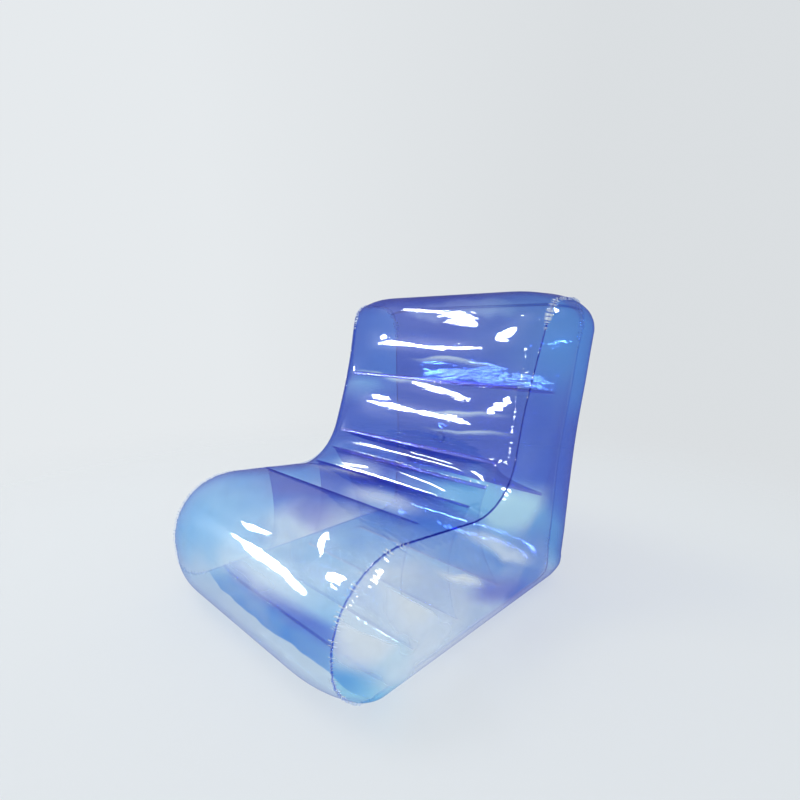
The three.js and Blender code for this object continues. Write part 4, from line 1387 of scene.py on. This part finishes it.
# Painted shade and light on the nose and backrest, and white painted reflections and glows
FRONT_PAINTED_LIGHT_AND_SHADE = PAINTED_CONTACT_SHADOWS + [
    ((0.10, -0.37, 0.200), (0.22, 0.07, 0.05), 0, 0.050, (1.0, 1.0, 1.0), 0.5),
    ((-0.22, -0.35, 0.260), (0.34, 0.16, 0.26), 0, 0.040, (0.50, 0.76, 0.98), 0.0),
    ((-0.24, 0.14, 0.45), (0.19, 0.10, 0.07), 0, 0.010, (0.76, 0.92, 1.0), 0.05),
    ((-0.10, 0.01, 0.28), (0.12, 0.09, 0.10), 0, 0.010, (0.97, 0.99, 1.0), 0.22),
    ((0.12, -0.09, 0.28), (0.13, 0.05, 0.10), 0, 0.010, (0.97, 0.99, 1.0), 0.28),
    ((0.08, 0.16, 0.517), (0.14, 0.10, 0.016), 0, 0.002, (0.92, 1.0, 1.0), 0.32),
    ((-0.10, 0.16, 0.469), (0.20, 0.10, 0.013), 0, 0.002, (0.92, 1.0, 1.0), 0.28),
    ((0.12, 0.13, 0.415), (0.16, 0.10, 0.014), 0, 0.002, (0.92, 1.0, 1.0), 0.30),
    ((0.16, 0.12, 0.378), (0.14, 0.10, 0.012), 0, 0.002, (0.92, 1.0, 1.0), 0.28)]
# Painted shade low on the side, and white painted reflections of the floor and room
SIDE_PAINTED_LIGHT_AND_SHADE = [
    ((0.337, 0.035, 0.112), (0.1, 0.170, 0.055), 22, 0.030, (0.36, 0.36, 0.82), 0.0),
    ((0.335, -0.228, 0.183), (0.1, 0.085, 0.080), 44, 0.002, (1.0, 1.0, 1.0), 0.95),
    ((0.32, -0.312, 0.160), (0.1, 0.090, 0.080), 42, 0.002, (1.0, 1.0, 1.0), 0.85),
    ((0.337, -0.175, 0.110), (0.1, 0.095, 0.075), 20, 0.060, (1.0, 1.0, 1.0), 0.6),
    ((0.335, -0.265, 0.085), (0.1, 0.090, 0.065), 20, 0.050, (1.0, 1.0, 1.0), 0.6),
    ((0.33, -0.105, 0.184), (0.1, 0.100, 0.018), 34, 0.004, (1.0, 1.0, 1.0), 1.0),
    ((0.33, 0.040, 0.183), (0.1, 0.170, 0.030), 30, 0.015, (0.95, 1.0, 1.0), 0.8)]
CLEAR_SLANT = (0.26, 0.28, 0.72)
clear_film = film_finish("clear_film_finish", CLEAR_TINT_AND_PAINTED_SHADE_LEVELS, CLEAR_PAINTED_LIGHT_AND_SHADE_ZONES, CLEAR_SLANT, FRONT_PAINTED_LIGHT_AND_SHADE,
                         haze_and_painted_shine_share=0.12)
back_film = film_finish("back_film_finish", CLEAR_TINT_AND_PAINTED_SHADE_LEVELS, CLEAR_PAINTED_LIGHT_AND_SHADE_ZONES, CLEAR_SLANT, PAINTED_CONTACT_SHADOWS,
                        streak_height=0.0045, haze_and_painted_shine_share=0.12)
# The side's levels and zones paint light low down and shade higher up on its blue film
side_film = film_finish(
    "side_film_finish",
    [(0, (0.99, 0.995, 1.0)), (0.17, (0.90, 0.97, 1.0)), (0.21, (0.66, 0.86, 0.99)),
     (0.34, (0.53, 0.66, 0.93)), (0.58, (0.57, 0.775, 0.97))],
    [((0.31, 0.09, 0.245), (0.11, 0.10, 0.05), (0.93, 0.985, 1.0)),
     ((0.33, -0.34, 0.06), (0.14, 0.10, 0.08), (0.72, 0.93, 1.0))],
    (0.28, 0.32, 0.74), SIDE_PAINTED_LIGHT_AND_SHADE, streak_turn=math.radians(-35), streak_height=0.0028,
    haze_and_painted_shine_share=0.30)
print("finishes:", clear_film.name, back_film.name, side_film.name)

# %% Tie sheets, welds and their pressed middles
WELDED_MIRROR_SHARE = 0.006
WELDED_ROUGHNESS = 0.35
WELDED_SLANT = (0.34, 0.34, 0.74)
# The tie sheets' levels and zones paint shade at the top and on the left, and light on the right
tie_film = film_finish(
    "tie_film_finish",
    [(0, (0.99, 0.995, 1.0)), (0.14, (0.96, 0.97, 0.995)), (0.30, (0.73, 0.74, 0.93))],
    [((-0.22, -0.13, 0.27), (0.28, 0.06, 0.12), (0.70, 0.68, 0.91)),
     ((-0.22, 0.05, 0.25), (0.25, 0.12, 0.10), (0.74, 0.72, 0.92)),
     ((0.18, 0.10, 0.25), (0.14, 0.16, 0.08), (0.90, 0.96, 1.0))],
    (0.45, 0.45, 0.84), streak_height=0.0028, haze_and_painted_shine_share=0.35, ticks=False)
# The welds' zones paint shade along the right and light on the left, low down, at the rear and top
welded_film_and_painted_shade = film_finish(
    "welded_film_finish",
    [(0, (0.90, 0.94, 0.99)), (0.13, (0.70, 0.76, 0.95)), (0.2, (0.46, 0.49, 0.85))],
    [((0.33, -0.05, 0.3), (0.12, 0.6, 0.6), (0.50, 0.53, 0.84)),
     ((-0.33, -0.05, 0.3), (0.12, 0.6, 0.6), (0.86, 0.90, 0.98)),
     ((-0.33, -0.20, 0.1), (0.12, 0.35, 0.3), (0.98, 0.985, 1.0)),
     ((0.33, -0.28, 0.12), (0.14, 0.16, 0.20), (0.80, 0.84, 0.97)),
     ((0.33, 0.0, 0.0), (0.14, 0.60, 0.09), (0.96, 0.975, 1.0)),
     ((0.33, 0.34, 0.29), (0.14, 0.14, 0.60), (0.90, 0.94, 0.99)),
     ((0.0, 0.36, 0.62), (0.50, 0.07, 0.07), (0.93, 0.96, 1.0))],
    WELDED_SLANT, mirror_share=WELDED_MIRROR_SHARE, roughness=WELDED_ROUGHNESS)
# The pressed middle's paler tint is a painted highlight along the weld's bead
pressed_middle_painted_highlight = film_finish(
    "pressed_film_finish", [(0, (0.90, 0.94, 0.99)), (0.13, (0.55, 0.60, 0.90))], [],
    WELDED_SLANT, mirror_share=WELDED_MIRROR_SHARE, roughness=WELDED_ROUGHNESS, ticks=False)
print("finishes:", tie_film.name, welded_film_and_painted_shade.name, pressed_middle_painted_highlight.name)

# %% [markdown]
# ## Soft moulding, as a finish
#
# The valve is moulded from a softer plastic, cloudy and satin. Scattering under the surface could
# give its milky depth, but on pieces this thin a mostly see-through surface with a fine grain and
# two soft tints looks the same and renders fast.

# %% The valve's finish
MOULDING_GRAIN_SCALE = 900.0
MOULDING_CLOUD_SCALE = 60.0
MOULDING_TINT = (0.58, 0.74, 0.95, 1)
MOULDING_PALER_TINT = (0.66, 0.80, 0.97)


def soft_moulding_finish():
    """Translucent pale blue soft moulding with a satin surface."""
    nodes = NodeMaker(bpy.data.materials.new("soft_moulding_finish"))
    place = nodes.add("TexCoord").outputs["Object"]
    grain, cloud = (nodes.add("TexNoise", Vector=place, Scale=scale, Detail=2.0, Roughness=0.5)
                    for scale in (MOULDING_GRAIN_SCALE, MOULDING_CLOUD_SCALE))
    bump = nodes.add("Bump", Strength=0.15, Distance=0.0002, Height=grain.outputs[0]).outputs[0]
    colour = nodes.mix(cloud.outputs[0], MOULDING_TINT, MOULDING_PALER_TINT)
    shader = nodes.add("BsdfPrincipled", colour, Roughness=0.32, IOR=1.5, Alpha=0.22, Normal=bump)
    return nodes.surface(shader.outputs[0])


soft_moulding = soft_moulding_finish()
print("finishes:", soft_moulding.name)

# %% [markdown]
# ## Bodies and finishes
#
# Each piece rides on the solid body that it belongs to, stands for its solid, and takes its
# finish. The four film panels are full of air. Three finishes go on each of them, and their faces
# say which they have: plain film, welded film, or the pressed middle of a weld's band.


def dress(piece, body, material, replaced=()):
    """Rides, finish and replaced solids of one piece."""
    piece.data.materials.append(material)
    if replaced:
        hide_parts(*replaced)
    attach(piece, body)


panels = [(front_panel, "front_panel", clear_film), (back_panel, "back_and_base_panel", back_film),
          (right_panel, "right_side_panel", side_film), (left_panel, "left_side_panel", side_film)]
valve_pieces = [(valve_flange, "chamber", ["valve_flange"]), (valve_stem, "stem", ["valve_stem"]),
                (valve_ear, "stem", ()), (valve_plug, "plug", ["valve_plug"]),
                (valve_strap, "plug", ()), (valve_tab, "plug", ()),
                (valve_flap, "flap", ["valve_flap"]), (flap_tab, "flap", ())]
for panel, node, film in panels:
    dress(panel, "chamber", film, [node])
    panel.data.materials.append(welded_film_and_painted_shade)
    panel.data.materials.append(pressed_middle_painted_highlight)
for sheet, tie in zip(tie_films, ties):
    dress(sheet, "chamber", tie_film, [tie["name"] + "_tie_sheet"])
for piece, body, replaced in valve_pieces:
    dress(piece, body, soft_moulding, replaced)
print("dressed", len(panels) + len(tie_films) + len(valve_pieces), "pieces")

# %% [markdown]
# ## Floor and backdrop
#
# The picture shows the chair on plain pale ground. A floor could run to a horizon or curve up
# into a wall. Here it is a wide disc that fades out with its distance, and the world behind it
# has the same pale colour, so no horizon shows. Only rays that see the two meet this even
# colour. All others meet plain paint and plain light, so the chair keeps its shadow.

# %% Floor
PALE = (0.767, 0.799, 0.823, 1)
FLOOR_PAINT = (0.80, 0.83, 0.85, 1)
FLOOR_EVEN_SHARE = 0.6
FLOOR_RADIUS = 3.0
FLOOR_FADE = (0.9, 2.4)
FLOOR_DROP = 0.0005
FLOOR_SIDES = 96


def floor_finish():
    """A pale floor that keeps the shadow and fades out towards its rim."""
    nodes = NodeMaker(bpy.data.materials.new("pale_floor_finish"))
    away = nodes.vector("LENGTH", nodes.add("TexCoord").outputs["Object"])
    fade = nodes.ramp(away, *FLOOR_FADE, soft=True)
    paint = nodes.add("BsdfDiffuse", Color=FLOOR_PAINT).outputs[0]
    even = nodes.add("Emission", Color=PALE, Strength=1.0).outputs[0]
    ground = nodes.mix_shader(nodes.math("MULTIPLY", nodes.seen(), FLOOR_EVEN_SHARE), paint, even)
    nothing = nodes.add("BsdfTransparent").outputs[0]
    return nodes.surface(nodes.mix_shader(fade, ground, nothing))


turns = np.linspace(0, 2 * math.pi, FLOOR_SIDES, endpoint=False)
floor_rim = [(FLOOR_RADIUS * math.cos(a), FLOOR_RADIUS * math.sin(a), -FLOOR_DROP) for a in turns]
floor_mesh = bpy.data.meshes.new("floor")
floor_mesh.from_pydata(floor_rim, [], [list(range(FLOOR_SIDES))])
floor = bpy.data.objects.new("floor", floor_mesh)
floor.data.materials.append(floor_finish())
bpy.context.collection.objects.link(floor)
print("floor", 2 * FLOOR_RADIUS, "m across")

# %% World
WORLD_LIGHT = 1.0
WORLD_BRIGHTNESS = (1.03, 0.92)
DIMMING_WAY = (0.707, 0.707, 0)
DIMMING_REACH = 0.3


def pale_world():
    """A world that is pale where it is seen, a little less so at the right rear."""
    nodes = NodeMaker(bpy.data.worlds.new("pale_world"), "OutputWorld")
    across = nodes.vector("DOT_PRODUCT", nodes.add("TexCoord").outputs["Generated"], DIMMING_WAY)
    strength = nodes.ramp(across, -DIMMING_REACH, DIMMING_REACH, *WORLD_BRIGHTNESS)
    shown = nodes.add("Background", Color=PALE, Strength=strength).outputs[0]
    lighting = nodes.add("Background", Color=PALE, Strength=WORLD_LIGHT).outputs[0]
    return nodes.surface(nodes.mix_shader(nodes.seen(), lighting, shown))


bpy.context.scene.world = pale_world()
print("world", bpy.context.scene.world.name)

# %% [markdown]
# ## Lamps
#
# One soft lamp lights the floor and casts the shadow. The white glints on the film are mirror
# images of softboxes, so each softbox stands where its image falls on a part of the film that
# glints in the picture. They could light the chair as well, but then they would wash out the
# film's colour, so they are seen in gloss alone.


# %% Lamps
def area_lamp(name, place, aim, width, height, power):
    """A rectangular lamp at a place, turned to face a point."""
    data = bpy.data.lights.new(name, "AREA")
    data.shape = "RECTANGLE"
    data.size, data.size_y = width, height
    data.energy = power
    lamp = bpy.data.objects.new(name, data)
    lamp.location = place
    lamp.rotation_euler = (Vector(aim) - Vector(place)).to_track_quat("-Z", "Y").to_euler()
    bpy.context.collection.objects.link(lamp)
    return lamp


key_lamp = area_lamp("key_lamp", (-1.1, -0.7, 2.3), (0, 0, 0.2), 0.9, 0.9, 15)
key_lamp.visible_glossy = False

# Place, width, height and brightness in the mirror of each softbox
SOFTBOXES = [
    ("left_high_softbox", (-1.12, -0.50, 1.86), 0.95, 0.15, 60),
    ("left_front_strip", (-2.55, -2.94, 1.40), 2.30, 0.34, 75),
    ("left_front_broad", (-2.90, -2.58, 1.42), 0.80, 0.50, 75),
    ("left_end_softbox", (-1.54, -0.89, 1.20), 0.16, 0.20, 75),
    ("front_high_softbox", (-0.12, -1.36, 1.46), 0.44, 0.24, 75),
    ("overhead_softbox", (0.90, -0.52, 2.10), 0.32, 0.28, 75),
    ("front_right_softbox", (0.62, -1.85, 1.25), 0.12, 0.09, 40),
]
SOFTBOX_AIM = (0.05, -0.05, 0.3)
for name, place, width, height, brightness in SOFTBOXES:
    power = brightness * math.pi * width * height
    softbox = area_lamp(name, place, SOFTBOX_AIM, width, height, power)
    softbox.data.shape = "ELLIPSE"
    softbox.visible_diffuse = False
print("lamps:", 1 + len(SOFTBOXES))

scene = bpy.context.scene
scene.view_settings.view_transform = "Standard"
scene.cycles.transparent_max_bounces = 64
scene.cycles.max_bounces = 12
